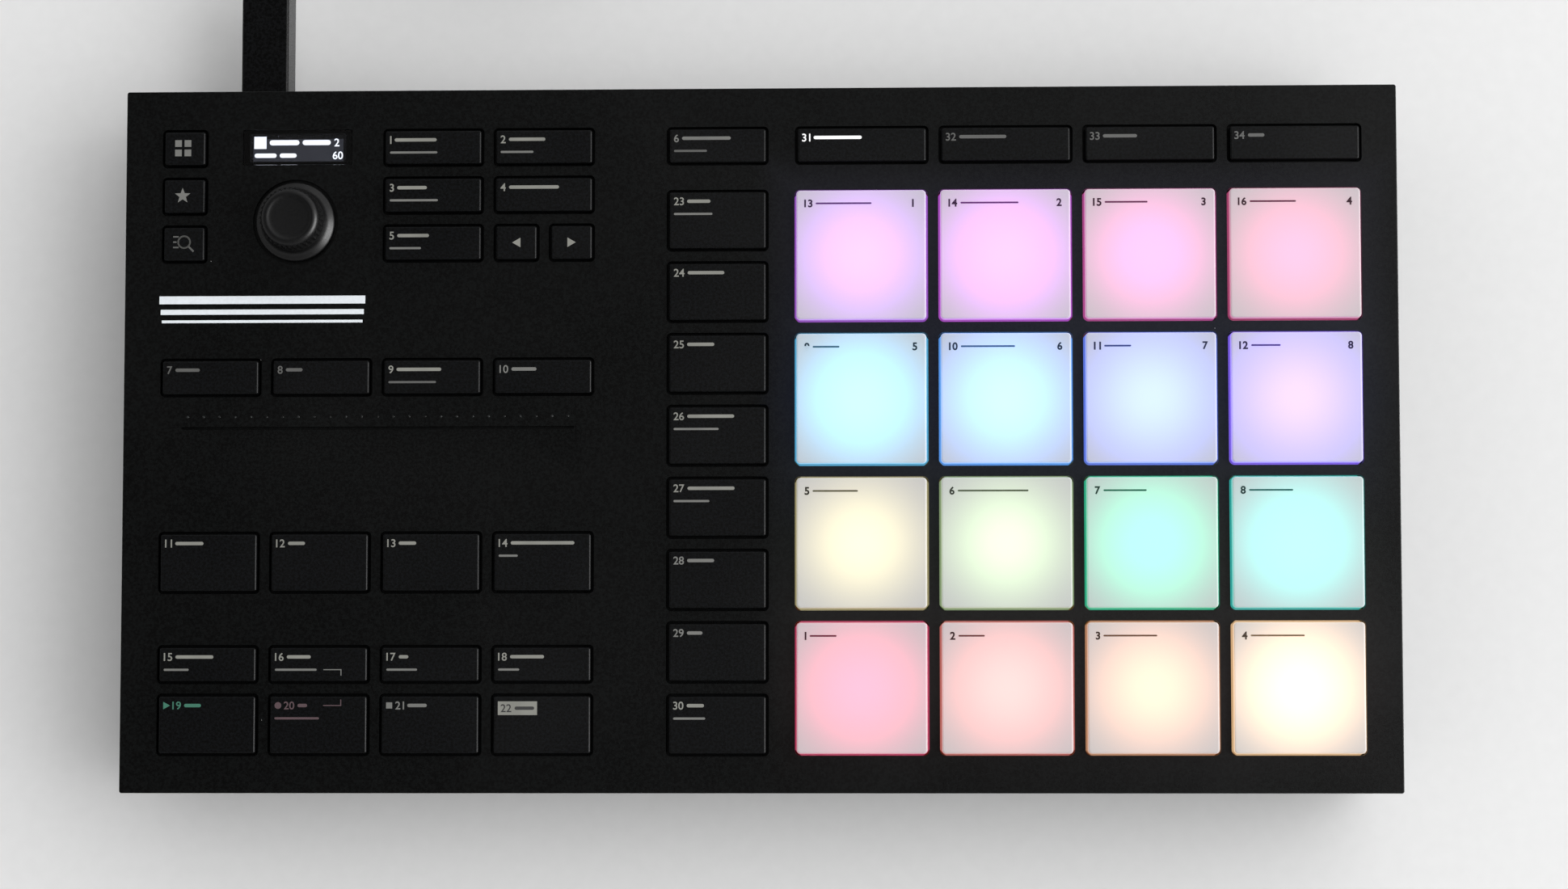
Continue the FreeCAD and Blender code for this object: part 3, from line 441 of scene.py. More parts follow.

# %% [markdown]
# ## Pads that glow
#
# Each pad is pale silicone over one small coloured lamp. Two lights reach the eye: the room's, which the
# silicone returns as a light grey, and the lamp's, which is strong in the middle and fades with distance.
# Where their sum is more than the picture can hold, the colour bleaches towards white, so a violet lamp
# looks pink in the middle and lavender at the edge. The finish needs no painted gradient for that: the
# shader adds the glow to the silicone and the picture does the rest. Below the rim only the lamp's own
# colour is left, and it fades down the wall, which shows as a thin saturated line round the pad. The
# wall's silicone is also painted a little darker than the top, as painted shade in the gap round the pad.

# %% Pad lamps
PAD_LAMPS = {
    13: (270, 0.86, 1.3), 14: (284, 0.88, 1.3), 15: (329, 0.88, 1.0), 16: (343, 0.89, 0.9),
    9: (207, 0.89, 1.5), 10: (222, 0.90, 2.0), 11: (233, 0.87, 1.8), 12: (248, 0.88, 2.0),
    5: (47, 0.60, 0.75), 6: (95, 0.53, 0.75), 7: (151, 0.98, 1.0), 8: (173, 0.95, 0.95),
    1: (351, 0.94, 1.1), 2: (3, 0.80, 1.1), 3: (18, 0.78, 1.1), 4: (27, 0.69, 1.6),
}  # hue in degrees, saturation, strength
SILICONE = (0.45, 0.45, 0.46, 1.0)
# The wall is the same silicone as the top, painted darker as painted shade in the gap round the pad.
SHADED_WALL_SILICONE = (0.40, 0.40, 0.40, 1.0)
GLOW_REACH = 14.3 * MM
WALL_GLOW = 0.30
RIM_GLOW = 0.60
RIM_LOW = 1.9 * MM
RIM_HIGH = 2.42 * MM


def lamp_colour(hue, saturation):
    """A lamp's colour from its place on the colour wheel."""
    colour = []
    for middle in (0, 120, 240):
        away = abs((hue - middle + 180) % 360 - 180)
        full = min(max((120 - away) / 60, 0.0), 1.0)
        colour.append(1 - saturation * (1 - full))
    return colour


def middle_of(node):
    """The middle of a node's box."""
    low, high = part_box(node)
    return (Vector(low) + Vector(high)) / 2


def pad_silicone(number):
    material, tree, shader = new_material(f"silicone_{number}")
    place = object_place(tree)
    add_grain(tree, shader, place, depth=0.012, roughness=0.55, spread=0.03)
    offset = vector_sum(tree, "SUBTRACT", place, middle_of(f"pad_{number}"))
    away = vector_sum(tree, "LENGTH", vector_sum(tree, "MULTIPLY", offset, (1.0, 1.0, 0.0)))
    square = number_sum(tree, "POWER", number_sum(tree, "DIVIDE", away, GLOW_REACH), 2.0)
    fade = number_sum(tree, "EXPONENT", number_sum(tree, "MULTIPLY", square, -1.0))
    height = add_node(tree, "ShaderNodeSeparateXYZ", Vector=place).outputs["Z"]
    top = ranged(tree, height, PANEL_TOP + RIM_LOW, PANEL_TOP + RIM_HIGH, 0.0, 1.0)
    hue, saturation, strength = PAD_LAMPS[number]
    rim = ranged(tree, height, PANEL_TOP, PANEL_TOP + RIM_LOW, WALL_GLOW, RIM_GLOW)
    level = ranged(tree, top, 0, 1, rim, fade)
    plug(tree, shader.inputs["Emission Color"], scaled(tree, lamp_colour(hue, saturation), level))
    shader.inputs["Emission Strength"].default_value = strength
    # Below the rim the base colour turns to the darker wall colour, which is painted shade.
    plug(tree, shader.inputs["Base Color"], mixed(tree, top, SHADED_WALL_SILICONE, SILICONE))
    shader.inputs["Specular IOR Level"].default_value = 0.2
    return material


for number in PAD_LAMPS:
    dress(f"pad_{number}", pad_silicone(number))
print("pad lamps:", len(PAD_LAMPS))

# %% [markdown]
# Some of that light reaches the cover. Between the pads the black looks milky, a little blue at the back
# and a little red in front, and the tint fades outside the outer pads. So the cover adds a faint glow that
# changes from front to back and fades with the distance from the block of pads. The cover's nearly level
# faces also get a normal that leans less than the face does, because the recess under the touch strip is
# moulded so softly that its ends don't show.

# %% Cover near the pads
SPILL_STOPS = {  # from the front edge of the block of pads to its back edge
    0.0: (0.0030, 0.0020, 0.0020), 0.125: (0.0100, 0.0075, 0.0075), 0.375: (0.0070, 0.0080, 0.0075),
    0.625: (0.0060, 0.0080, 0.0170), 0.875: (0.0085, 0.0085, 0.0130),
}
SPILL_FADE = (-7.0 * MM, 11.0 * MM)
NEARLY_LEVEL = (0.96, 0.985)
LEAN = 0.25


def glow_faintly(material, colour, strength=1.0):
    """A glow too weak to light anything else, so it is left out of the list of lamps."""
    tree = material.node_tree
    shader = tree.nodes["Principled BSDF"]
    plug(tree, shader.inputs["Emission Color"], colour)
    shader.inputs["Emission Strength"].default_value = strength
    material.cycles.emission_sampling = "NONE"


def extent(points):
    """The lowest and the highest value of these points along each axis."""
    low = Vector([min(point[i] for point in points) for i in range(3)])
    high = Vector([max(point[i] for point in points) for i in range(3)])
    return low, high


def pad_block():
    """The middle of the block of pads and half its size."""
    low, high = extent([corner for number in PAD_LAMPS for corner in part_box(f"pad_{number}")])
    return (low + high) / 2, (high - low) / 2


def lit_by_pads(material):
    """Adds the faint light of the lamps to the cover's finish."""
    tree = material.node_tree
    middle, half = pad_block()
    offset = vector_sum(tree, "SUBTRACT", object_place(tree), middle)
    outside = vector_sum(tree, "SUBTRACT", vector_sum(tree, "ABSOLUTE", offset), half)
    sides = add_node(tree, "ShaderNodeSeparateXYZ", Vector=outside).outputs
    away = number_sum(tree, "MAXIMUM", sides["X"], sides["Y"])
    fade = ranged(tree, away, *SPILL_FADE, 1.0, 0.0, smooth=True)
    depth = add_node(tree, "ShaderNodeSeparateXYZ", Vector=offset).outputs["Y"]
    ramp = add_node(tree, "ShaderNodeValToRGB", Fac=ranged(tree, depth, -half.y, half.y, 0, 1))
    stops = ramp.color_ramp.elements
    places = list(SPILL_STOPS)
    stops[0].position = places[0]
    stops[1].position = places[-1]
    for place in places[1:-1]:
        stops.new(place)
    for stop, colour in zip(stops, SPILL_STOPS.values()):
        stop.color = (*colour, 1.0)
    glow_faintly(material, scaled(tree, ramp.outputs["Color"], fade))


def soften_slopes(material):
    """Lets a nearly level face lean less."""
    tree = material.node_tree
    bump = tree.nodes["Bump"]
    normal = add_node(tree, "ShaderNodeNewGeometry").outputs["Normal"]
    rise = add_node(tree, "ShaderNodeSeparateXYZ", Vector=normal).outputs["Z"]
    share = ranged(tree, rise, *NEARLY_LEVEL, 1.0, LEAN)
    weights = add_node(tree, "ShaderNodeCombineXYZ", X=share, Y=share, Z=1.0).outputs[0]
    plug(tree, bump.inputs["Normal"], vector_sum(tree, "MULTIPLY", normal, weights))


lit_by_pads(panel_black)
soften_slopes(panel_black)
print("nodes in the cover's finish:", len(panel_black.node_tree.nodes))

# %% [markdown]
# ## Repeats by Geometry Nodes
#
# What repeats on this object is small: the teeth round the knob and the row of lights over the touch
# strip. Copying meshes in a loop works, but a tree keeps the rule itself, with the count and the pitch as
# its inputs. One tree repeats a shape along a line, another round a circle. Both end in Realize Instances
# and Set Material, and the result is kept as a plain mesh.

# %% Tree helpers
def new_tree(name, inputs):
    """An empty tree with these named inputs, and its two end nodes."""
    tree = bpy.data.node_groups.new(name, "GeometryNodeTree")
    for label, kind in inputs.items():
        tree.interface.new_socket(label, in_out="INPUT", socket_type=kind)
    tree.interface.new_socket("Geometry", in_out="OUTPUT", socket_type="NodeSocketGeometry")
    return tree, tree.nodes.new("NodeGroupInput").outputs, tree.nodes.new("NodeGroupOutput").inputs


def end_tree(tree, instances, finish, result):
    """Turns the instances into one mesh with its finish."""
    real = add_node(tree, "GeometryNodeRealizeInstances", Geometry=instances)
    finished = add_node(tree, "GeometryNodeSetMaterial", Geometry=real.outputs[0], Material=finish)
    plug(tree, result[0], finished.outputs[0])


def grow(name, tree, **values):
    """Runs a tree on an empty object and keeps the plain mesh that it makes."""
    piece = add_object(name, bpy.data.meshes.new(name))
    modifier = piece.modifiers.new("grow", "NODES")
    modifier.node_group = tree
    for item in tree.interface.items_tree:
        if item.in_out == "INPUT" and item.name in values:
            modifier[item.identifier] = values[item.name]
    graph = bpy.context.evaluated_depsgraph_get()
    mesh = bpy.data.meshes.new_from_object(piece.evaluated_get(graph))
    piece.modifiers.clear()
    piece.data = mesh
    mesh.name = name
    print(name, "has", len(mesh.polygons), "faces")
    return piece


# %% The row tree and the ring tree
def row_tree():
    inputs = {
        "Shape": "NodeSocketObject", "Count": "NodeSocketInt", "Start": "NodeSocketVector",
        "Step": "NodeSocketVector", "Finish": "NodeSocketMaterial",
    }
    tree, given, result = new_tree("row", inputs)
    line = add_node(
        tree, "GeometryNodeMeshLine", {"mode": "OFFSET"}, Count=given["Count"],
        Start_Location=given["Start"], Offset=given["Step"],
    )
    shape = add_node(tree, "GeometryNodeObjectInfo", Object=given["Shape"])
    copies = add_node(
        tree, "GeometryNodeInstanceOnPoints", Points=line.outputs[0], Instance=shape.outputs["Geometry"]
    )
    end_tree(tree, copies.outputs[0], given["Finish"], result)
    return tree


def ring_tree():
    inputs = {
        "Shape": "NodeSocketObject", "Count": "NodeSocketInt", "Radius": "NodeSocketFloat",
        "Centre": "NodeSocketVector", "Finish": "NodeSocketMaterial",
    }
    tree, given, result = new_tree("ring", inputs)
    circle = add_node(
        tree, "GeometryNodeMeshCircle", Vertices=given["Count"], Radius=given["Radius"]
    )
    place = add_node(tree, "GeometryNodeInputPosition").outputs[0]
    outward = add_node(
        tree, "FunctionNodeAlignRotationToVector", {"axis": "X", "pivot_axis": "Z"}, Vector=place
    )
    shape = add_node(tree, "GeometryNodeObjectInfo", Object=given["Shape"])
    copies = add_node(
        tree, "GeometryNodeInstanceOnPoints", Points=circle.outputs[0], Instance=shape.outputs["Geometry"],
        Rotation=outward.outputs[0],
    )
    moved = add_node(
        tree, "GeometryNodeTransform", Geometry=copies.outputs[0], Translation=given["Centre"]
    )
    end_tree(tree, moved.outputs[0], given["Finish"], result)
    return tree


# %% [markdown]
# ## Meshes from outlines
#
# Legends and stripes are thin plates cut to an outline, and the knob is a profile turned
# about an axis. Two short helpers make both as closed meshes with their faces outwards.

# %% Plates
ROUND_STEPS = 6


def pill(left, front, length, thickness):
    """The outline of a bar with round ends."""
    radius = thickness / 2
    points = []
    for centre_x, start in ((left + length - radius, -90), (left + radius, 90)):
        for i in range(ROUND_STEPS + 1):
            angle = math.radians(start + 180 * i / ROUND_STEPS)
            points.append((centre_x + radius * math.cos(angle), front + radius + radius * math.sin(angle)))
    return points


def disc(x, y, radius, sides=24):
    """The outline of a round plate."""
    angles = [2 * math.pi * i / sides for i in range(sides)]
    return [(x + radius * math.cos(angle), y + radius * math.sin(angle)) for angle in angles]


def add_plate(mesh, outline, low, high, finish=0):
    """Adds a flat plate to a bmesh: its outline runs counter-clockwise."""
    bottom = [mesh.verts.new((x, y, low)) for x, y in outline]
    top = [mesh.verts.new((x, y, high)) for x, y in outline]
    faces = [mesh.faces.new(top), mesh.faces.new(bottom[::-1])]
    for i in range(len(outline)):
        j = (i + 1) % len(outline)
        faces.append(mesh.faces.new((bottom[i], bottom[j], top[j], top[i])))
    for face in faces:
        face.material_index = finish


def new_piece(name, mesh, materials):
    """An object from a bmesh, with its finishes."""
    data = bpy.data.meshes.new(name)
    mesh.to_mesh(data)
    mesh.free()
    for material in materials:
        data.materials.append(material)
    return add_object(name, data)


# %% Turned pieces
TURN_STEPS = 128
SHARP_ANGLE = 35


def turned(name, profile, centre, material):
    """A closed round piece from its profile of radii and heights, first and last on the axis."""
    mesh = bmesh.new()
    rings = []
    for radius, height in profile:
        if radius == 0:
            rings.append([mesh.verts.new(centre + Vector((0, 0, height)))])
            continue
        rings.append([
            mesh.verts.new(centre + Vector((x, y, height))) for x, y in disc(0, 0, radius, TURN_STEPS)
        ])
    for lower, upper in zip(rings, rings[1:]):
        for i in range(TURN_STEPS):
            j = (i + 1) % TURN_STEPS
            around = [
                lower[i % len(lower)], lower[j % len(lower)], upper[j % len(upper)], upper[i % len(upper)]
            ]
            corners = list(dict.fromkeys(around))
            if len(corners) > 2:
                mesh.faces.new(corners)
    bmesh.ops.recalc_face_normals(mesh, faces=mesh.faces)
    piece = new_piece(name, mesh, [material])
    piece.data.shade_smooth()
    piece.data.set_sharp_from_angle(angle=math.radians(SHARP_ANGLE))
    return piece


# %% [markdown]
# ## The knob
#
# The encoder's knob is turned in one go: a flared skirt, a waist, a band of teeth and a cap whose rim
# catches the light round a shallow dish. The body is one profile turned about the shaft's axis, and the
# ring tree sets its teeth. Its plastic has a soft-touch coat, so it is smoother than the case.

# %% Knob body and teeth
KNOB_CENTRE = Vector((*middle_of("encoder_knob").xy, 0))
KNOB_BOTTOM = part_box("encoder_knob")[0][2]
KNOB_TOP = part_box("encoder_knob")[1][2]
KNOB_FLARE = [  # radius and height above the bottom, millimetres
    (0.0, 2.3), (4.5, 2.3), (4.5, 0.0), (9.6, 0.0), (9.83, 0.07), (9.95, 0.25), (9.97, 0.6), (9.9, 0.88),
    (9.72, 1.1), (9.45, 1.3), (9.1, 1.52), (8.75, 1.78), (8.4, 2.1), (8.12, 2.5), (7.92, 2.95),
    (7.8, 3.35), (7.72, 3.6), (7.3, 3.65),
]
KNOB_CAP = [  # radius and depth below the top, millimetres
    (7.3, 1.45), (7.28, 1.2), (7.2, 0.92), (7.05, 0.64), (6.83, 0.4), (6.55, 0.2), (6.25, 0.07),
    (5.95, 0.01), (5.7, 0.02), (5.45, 0.1), (5.2, 0.2), (4.9, 0.27), (4.4, 0.3), (0.0, 0.3),
]
KNOB_BLACK = (0.0030, 0.0030, 0.0032)
TEETH = 36
TEETH_BOTTOM = 3.6 * MM
TOOTH_HEIGHT = 5.4 * MM
TOOTH_WIDTH = 0.85 * MM
TOOTH_REACH = 0.4 * MM
TOOTH_SHOULDER = (0.7, 0.6)  # shares of the reach and of half the width
KNURL_RADIUS = 7.3 * MM
knob_black = moulded("knob_black", KNOB_BLACK, roughness=0.35, depth=0.003, shine=0.16, cloud=0.2)
profile = [(r * MM, KNOB_BOTTOM + h * MM) for r, h in KNOB_FLARE]
profile += [(r * MM, KNOB_TOP - d * MM) for r, d in KNOB_CAP]
knob_body = turned("knob_body", profile, KNOB_CENTRE, knob_black)


def tooth():
    """One upright tooth with a rounded face, whose foot slopes up to its tip."""
    mesh = bmesh.new()
    half = TOOTH_WIDTH / 2
    shoulder = (TOOTH_REACH * TOOTH_SHOULDER[0], half * TOOTH_SHOULDER[1])
    side = [(TOOTH_REACH, 0.0), shoulder, (0.0, half), (-TOOTH_REACH, half)]
    mirrored = [(x, -y) for x, y in side[:0:-1]]
    add_plate(mesh, mirrored + side, 0.0, TOOTH_HEIGHT)
    for vertex in mesh.verts:
        if vertex.co.x > TOOTH_REACH / 2 and vertex.co.z == 0.0:
            vertex.co.z = TOOTH_REACH / 2
    return new_piece("tooth", mesh, [])


stamp = tooth()
knob_teeth = grow(
    "knob_teeth", ring_tree(), Shape=stamp, Count=TEETH, Radius=KNURL_RADIUS,
    Centre=KNOB_CENTRE + Vector((0, 0, KNOB_BOTTOM + TEETH_BOTTOM)), Finish=knob_black,
)
bpy.data.objects.remove(stamp)
for piece in (knob_body, knob_teeth):
    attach(piece, "encoder_knob")
    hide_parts("encoder_knob")

# %% [markdown]
# ## Lights over the touch strip
#
# Twenty-five tiny lenses sit in a row behind the recess. They are dark here, because nothing is touching
# the strip, so they are low domes of smoky plastic that only just show.

# %% Strip lights
STRIP_LIGHTS = 25
STRIP_LIGHT_START = (16.3, 82.7)
STRIP_LIGHT_STEP = 4.0
LENS_RADIUS = 0.32 * MM
LENS_HEIGHT = 0.3  # as a share of the radius
SMOKE = (0.011, 0.012, 0.012)
lens_smoke = moulded("lens_smoke", SMOKE, roughness=0.38, depth=0.002, shine=0.13)


def lens():
    mesh = bmesh.new()
    bmesh.ops.create_uvsphere(mesh, u_segments=12, v_segments=6, radius=LENS_RADIUS)
    bmesh.ops.scale(mesh, vec=(1.0, 1.0, LENS_HEIGHT), verts=mesh.verts)
    for face in mesh.faces:
        face.smooth = True
    return new_piece("lens", mesh, [])


stamp = lens()
strip_lights = grow(
    "strip_lights", row_tree(), Shape=stamp, Count=STRIP_LIGHTS, Start=from_corner(*STRIP_LIGHT_START),
    Step=Vector((STRIP_LIGHT_STEP * MM, 0, 0)), Finish=lens_smoke,
)
bpy.data.objects.remove(stamp)
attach(strip_lights, "case")

# %% [markdown]
# ## Legends
#
# Each key's legend is a clear window in its black coat, lit from inside. A line is a number and a bar, a
# second line is a thinner bar, and play, record and stop have their usual signs. Cutting every window
# into the moulding would take some hundred small holes, so thin plates just over the cap stand for them.
# Each key gets one sheet of such plates, which rides on the key's body. How bright each line is goes by
# the table below.

# %% Legend light
LEGEND_LEVELS = {
    "white": (1.00, 1.00, 1.00), "bright": (0.205, 0.205, 0.18), "middle": (0.135, 0.135, 0.125),
    "dim": (0.066, 0.066, 0.062), "green": (0.015, 0.14, 0.085), "red": (0.060, 0.026, 0.033),
    "unlit": (0.0, 0.0, 0.0),
}
LEGEND_BLACK = (0.008, 0.008, 0.008, 1.0)
LEGEND_PATCHES = 180.0
LEGEND_SHADES = (0.75, 1.25)


def lit_window(name, colour):
    """A window whose lamp doesn't fill it quite evenly."""
    material, tree, shader = new_material(f"legend_{name}")
    glow_faintly(material, scaled(tree, colour, uneven(tree, LEGEND_PATCHES, 1.0, *LEGEND_SHADES)))
    shader.inputs["Base Color"].default_value = LEGEND_BLACK
    return material


legend_names = list(LEGEND_LEVELS)
legend_finishes = [lit_window(name, colour) for name, colour in LEGEND_LEVELS.items()]

# %% Numbers
PRINT = 0.03 * MM
SUNK = 0.02 * MM
CAP_HEIGHT = 2.0 * MM
FONT_WEIGHT = 0.012


def number_mesh(text, height, weight):
    """A plain number as a thin mesh with its lower left corner at the origin, and its width."""
    curve = bpy.data.curves.new("number", "FONT")
    curve.body = text
    curve.offset = weight
    curve.extrude = 0.5
    holder = add_object("number", curve)
    graph = bpy.context.evaluated_depsgraph_get()
    mesh = bpy.data.meshes.new_from_object(holder.evaluated_get(graph))
    bpy.data.objects.remove(holder)
    low, high = extent([vertex.co for vertex in mesh.vertices])
    scale = height / (high.y - low.y)
    mesh.transform(Matrix.Diagonal((scale, scale, PRINT + SUNK, 1.0)) @ Matrix.Translation(-low))
    return mesh, (high.x - low.x) * scale


def add_number(sheet, text, left, front, top, finish="white", weight=FONT_WEIGHT):
    """Adds a number to a sheet of legends and returns its width."""
    mesh, width = number_mesh(text, CAP_HEIGHT, weight)
    mesh.transform(Matrix.Translation((left, front, top - SUNK)))
    before = len(sheet.faces)
    sheet.from_mesh(mesh)
    sheet.faces.ensure_lookup_table()
    for face in sheet.faces[before:]:
        face.material_index = legend_names.index(finish)
    bpy.data.meshes.remove(mesh)
    return width


def add_shape(sheet, outline, top, finish):
    """Adds a plate to a sheet of legends."""
    add_plate(sheet, outline, top - SUNK, top + PRINT, legend_names.index(finish))


# %% Caps of a key
FLAT = 0.01 * MM
KEY_ROUND = 0.45 * MM


def caps_of(node):
    """Each cap's left, back, right and front edge and its top, row by row from the back."""
    mesh = nodes[node].data
    top = max(vertex.co.z for vertex in mesh.vertices)
    groups = []
    for polygon in mesh.polygons:
        corners = {tuple(round(c, 7) for c in mesh.vertices[v].co) for v in polygon.vertices}
        if all(top - corner[2] < FLAT for corner in corners):
            touching = [group for group in groups if group & corners]
            groups = [group for group in groups if not group & corners]
            groups.append(corners.union(*touching))
    caps = []
    for group in groups:
        across = [corner[0] for corner in group]
        along = [corner[1] for corner in group]
        caps.append((
            min(across) - KEY_ROUND, max(along) + KEY_ROUND, max(across) + KEY_ROUND,
            min(along) - KEY_ROUND, top,
        ))
    return sorted(caps, key=lambda cap: (-round(cap[1], 4), cap[0]))


# %% [markdown]
# The table gives each cap its first line's reach and light, and the same for a second line if it has one.
# The reach is how far a line runs from the legend's left margin, in millimetres.

# %% Legend table
KEY_LEGENDS = {
    "display_keys": [
        (11.8, "bright", 12.0, "middle"), (11.3, "bright", 8.3, "middle"), (9.4, "bright", 12.2, "middle"),
        (14.8, "bright"), (10.0, "bright", 8.0, "middle"),
    ],
    "fixed_velocity_key": [(14.3, "middle", 8.3, "dim")],
    "strip_mode_keys": [
        (8.3, "dim"), (6.3, "dim"), (13.3, "bright", 12.0, "dim"), (9.3, "middle"),
    ],
    "group_key": [(9.7, "bright")],
    "auto_key": [(7.3, "bright")],
    "lock_key": [(7.3, "bright")],
    "note_repeat_key": [(19.0, "bright", 4.8, "middle")],
    "edit_keys": [
        (12.5, "bright", 6.3, "middle"), (9.0, "bright", 10.5, "middle"), (5.5, "bright", 7.7, "middle"),
        (11.5, "bright", 5.3, "middle"),
    ],
    "play_key": [(9.5, "green")],
    "record_key": [(8.2, "red", 11.2, "red")],
    "stop_key": [(10.2, "middle")],
    "shift_key": [(0, "unlit")],
    "scene_key": [(9.2, "bright", 9.7, "middle")],
    "pattern_key": [(12.7, "bright")],
    "events_key": [(10.2, "bright")],
    "variation_key": [(15.2, "bright", 11.3, "middle")],
    "duplicate_key": [(15.3, "bright", 9.0, "middle")],
    "select_key": [(10.2, "middle")],
    "solo_key": [(7.3, "middle")],
    "mute_key": [(7.7, "bright", 8.0, "middle")],
    "pad_mode_key": [(15.0, "white")],
    "keyboard_key": [(15.2, "dim")],
    "chords_key": [(11.8, "dim")],
    "step_key": [(7.5, "dim")],
}
MARGIN = 1.18 * MM
FIRST_LINE = 2.35 * MM
SECOND_LINE = 3.2 * MM
NUMBER_GAP = 0.8 * MM
FIRST_BAR = 0.85 * MM
SECOND_BAR = 0.55 * MM
SIGN_SPACE = 2.3 * MM


def write_line(sheet, text, left, middle, right, top, finish):
    """A number and the bar after it, both centred on one line."""
    start = left + add_number(sheet, text, left, middle - CAP_HEIGHT / 2, top, finish) + NUMBER_GAP
    if right - start > 2 * FIRST_BAR:
        add_shape(sheet, pill(start, middle - FIRST_BAR / 2, right - start, FIRST_BAR), top, finish)


def stroke(start, end, width):
    """The outline of a straight line of that width, which goes half the width past each point."""
    along = (Vector(end) - Vector(start)).normalized() * (width / 2)
    across = Vector((-along.y, along.x))
    first, last = Vector(start) - along, Vector(end) + along
    return [first - across, last - across, last + across, first + across]


def square(left, middle, size):
    """The outline of a square from its left edge and middle line."""
    low, high = middle - size / 2, middle + size / 2
    return [(left, low), (left + size, low), (left + size, high), (left, high)]


def triangle(x, y, width, height):
    """The outline of a sign that points right, or left where the width is negative."""
    corners = [(x - width / 2, y - height / 2), (x + width / 2, y), (x - width / 2, y + height / 2)]
    return corners if width > 0 else corners[::-1]


# %% Signs of the transport keys
SIGN = 1.7 * MM
PLAY_HEIGHT = 1.87 * MM
STOP_SIZE = 1.53 * MM
BRACKET = (13.5 * MM, 17.8 * MM)
BRACKET_DROP = 1.35 * MM
BRACKET_LINE = 0.24 * MM
SHIFT_BOX = (9.8 * MM, 3.4 * MM)
SHIFT_LINE = 3.05 * MM


def add_bracket(sheet, left, middle, top, drop, finish):
    """A thin line with a turn at its right end, which ties one key to the key over or under it."""
    start, end = left + BRACKET[0], left + BRACKET[1]
    add_shape(sheet, stroke((start, middle), (end, middle), BRACKET_LINE), top, finish)
    foot = middle + math.copysign(BRACKET_LINE, drop)
    add_shape(sheet, stroke((end, foot), (end, middle + drop), BRACKET_LINE), top, finish)


def play_sign(sheet, left, middle, top):
    add_shape(sheet, triangle(left + MARGIN + SIGN / 2, middle, SIGN, PLAY_HEIGHT), top, "green")


def record_sign(sheet, left, middle, top):
    add_shape(sheet, disc(left + MARGIN + SIGN / 2, middle, SIGN / 2), top, "red")
    add_bracket(sheet, left, middle, top, BRACKET_DROP, "red")


def stop_sign(sheet, left, middle, top):
    add_shape(sheet, square(left + MARGIN, middle, STOP_SIZE), top, "middle")


def tie_sign(sheet, left, middle, top):
    add_bracket(sheet, left, middle - SECOND_LINE, top, -BRACKET_DROP, "middle")


def write_shift(sheet, text, left, back, top):
    """A lit box with its number and bar left dark."""
    start, middle = left + MARGIN, back - SHIFT_LINE
    length, height = SHIFT_BOX
    box = stroke((start + height / 2, middle), (start + length - height / 2, middle), height)
    add_plate(sheet, box, top - SUNK, top + PRINT / 2, legend_names.index("bright"))
    inset = (height - CAP_HEIGHT) / 2
    write_line(sheet, text, start + inset, middle, start + length - inset, top, "unlit")


KEY_SIGNS = {16: tie_sign, 19: play_sign, 20: record_sign, 21: stop_sign}
INDENTED = (19, 20, 21)
SHIFT_KEY = 22

# %% Keys with a number
legend_sheets = []


def keep_legend(name, sheet):
    """Makes a sheet the legend of the key with that name."""
    piece = new_piece(f"legend_{name}", sheet, legend_finishes)
    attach(piece, name)
    legend_sheets.append(piece)


key_number = 0
for name, lines in KEY_LEGENDS.items():
    sheet = bmesh.new()
    for (left, back, _, _, top), (reach, light, *second) in zip(caps_of(name), lines):
        key_number += 1
        if key_number == SHIFT_KEY:
            write_shift(sheet, str(key_number), left, back, top)
            continue
        start, middle = left + MARGIN, back - FIRST_LINE
        if key_number in KEY_SIGNS:
            KEY_SIGNS[key_number](sheet, left, middle, top)
        number_start = start + SIGN_SPACE if key_number in INDENTED else start
        write_line(sheet, str(key_number), number_start, middle, start + reach * MM, top, light)
        if second:
            low = middle - SECOND_LINE - SECOND_BAR / 2
            add_shape(sheet, pill(start, low, second[0] * MM, SECOND_BAR), top, second[1])
    keep_legend(name, sheet)
print("numbered keys:", key_number)

# %% [markdown]
# The icon keys and the page keys have signs alone: a grid, a star, a glass over a list, and two arrows.

# %% Icons
ICON = 4.1 * MM
ICON_SHIFT = (-0.5 * MM, 0.1 * MM)
GRID_GAP = 0.7 * MM
STAR_POINTS = 5
STAR_WAIST = 0.42
SEARCH_PLACE = (0.5 * MM, 0.4 * MM)
SEARCH_RING = (1.5 * MM, 0.38 * MM)  # radius and line
SEARCH_STROKES = 20
HANDLE = (0.85, 1.5)  # start and end, in radii along each axis
HANDLE_LINE = 0.456 * MM
LIST_LEFT = 2.1 * MM
LIST_LINES = ((1.35, 1.0), (0.0, 0.5), (-1.35, 1.0))
ARROW = 2.1 * MM
ARROW_HEIGHT = 2.415 * MM


def grid_icon(sheet, x, y, top):
    size = (ICON - GRID_GAP) / 2
    for left in (x - ICON / 2, x + GRID_GAP / 2):
        for middle in (y - (size + GRID_GAP) / 2, y + (size + GRID_GAP) / 2):
            add_shape(sheet, square(left, middle, size), top, "middle")


def star_icon(sheet, x, y, top):
    points = []
    for i in range(2 * STAR_POINTS):
        radius = ICON / 2 * (1 if i % 2 == 0 else STAR_WAIST)
        angle = math.pi / 2 + math.pi * i / STAR_POINTS
        points.append((x + radius * math.cos(angle), y + radius * math.sin(angle)))
    add_shape(sheet, points, top, "middle")


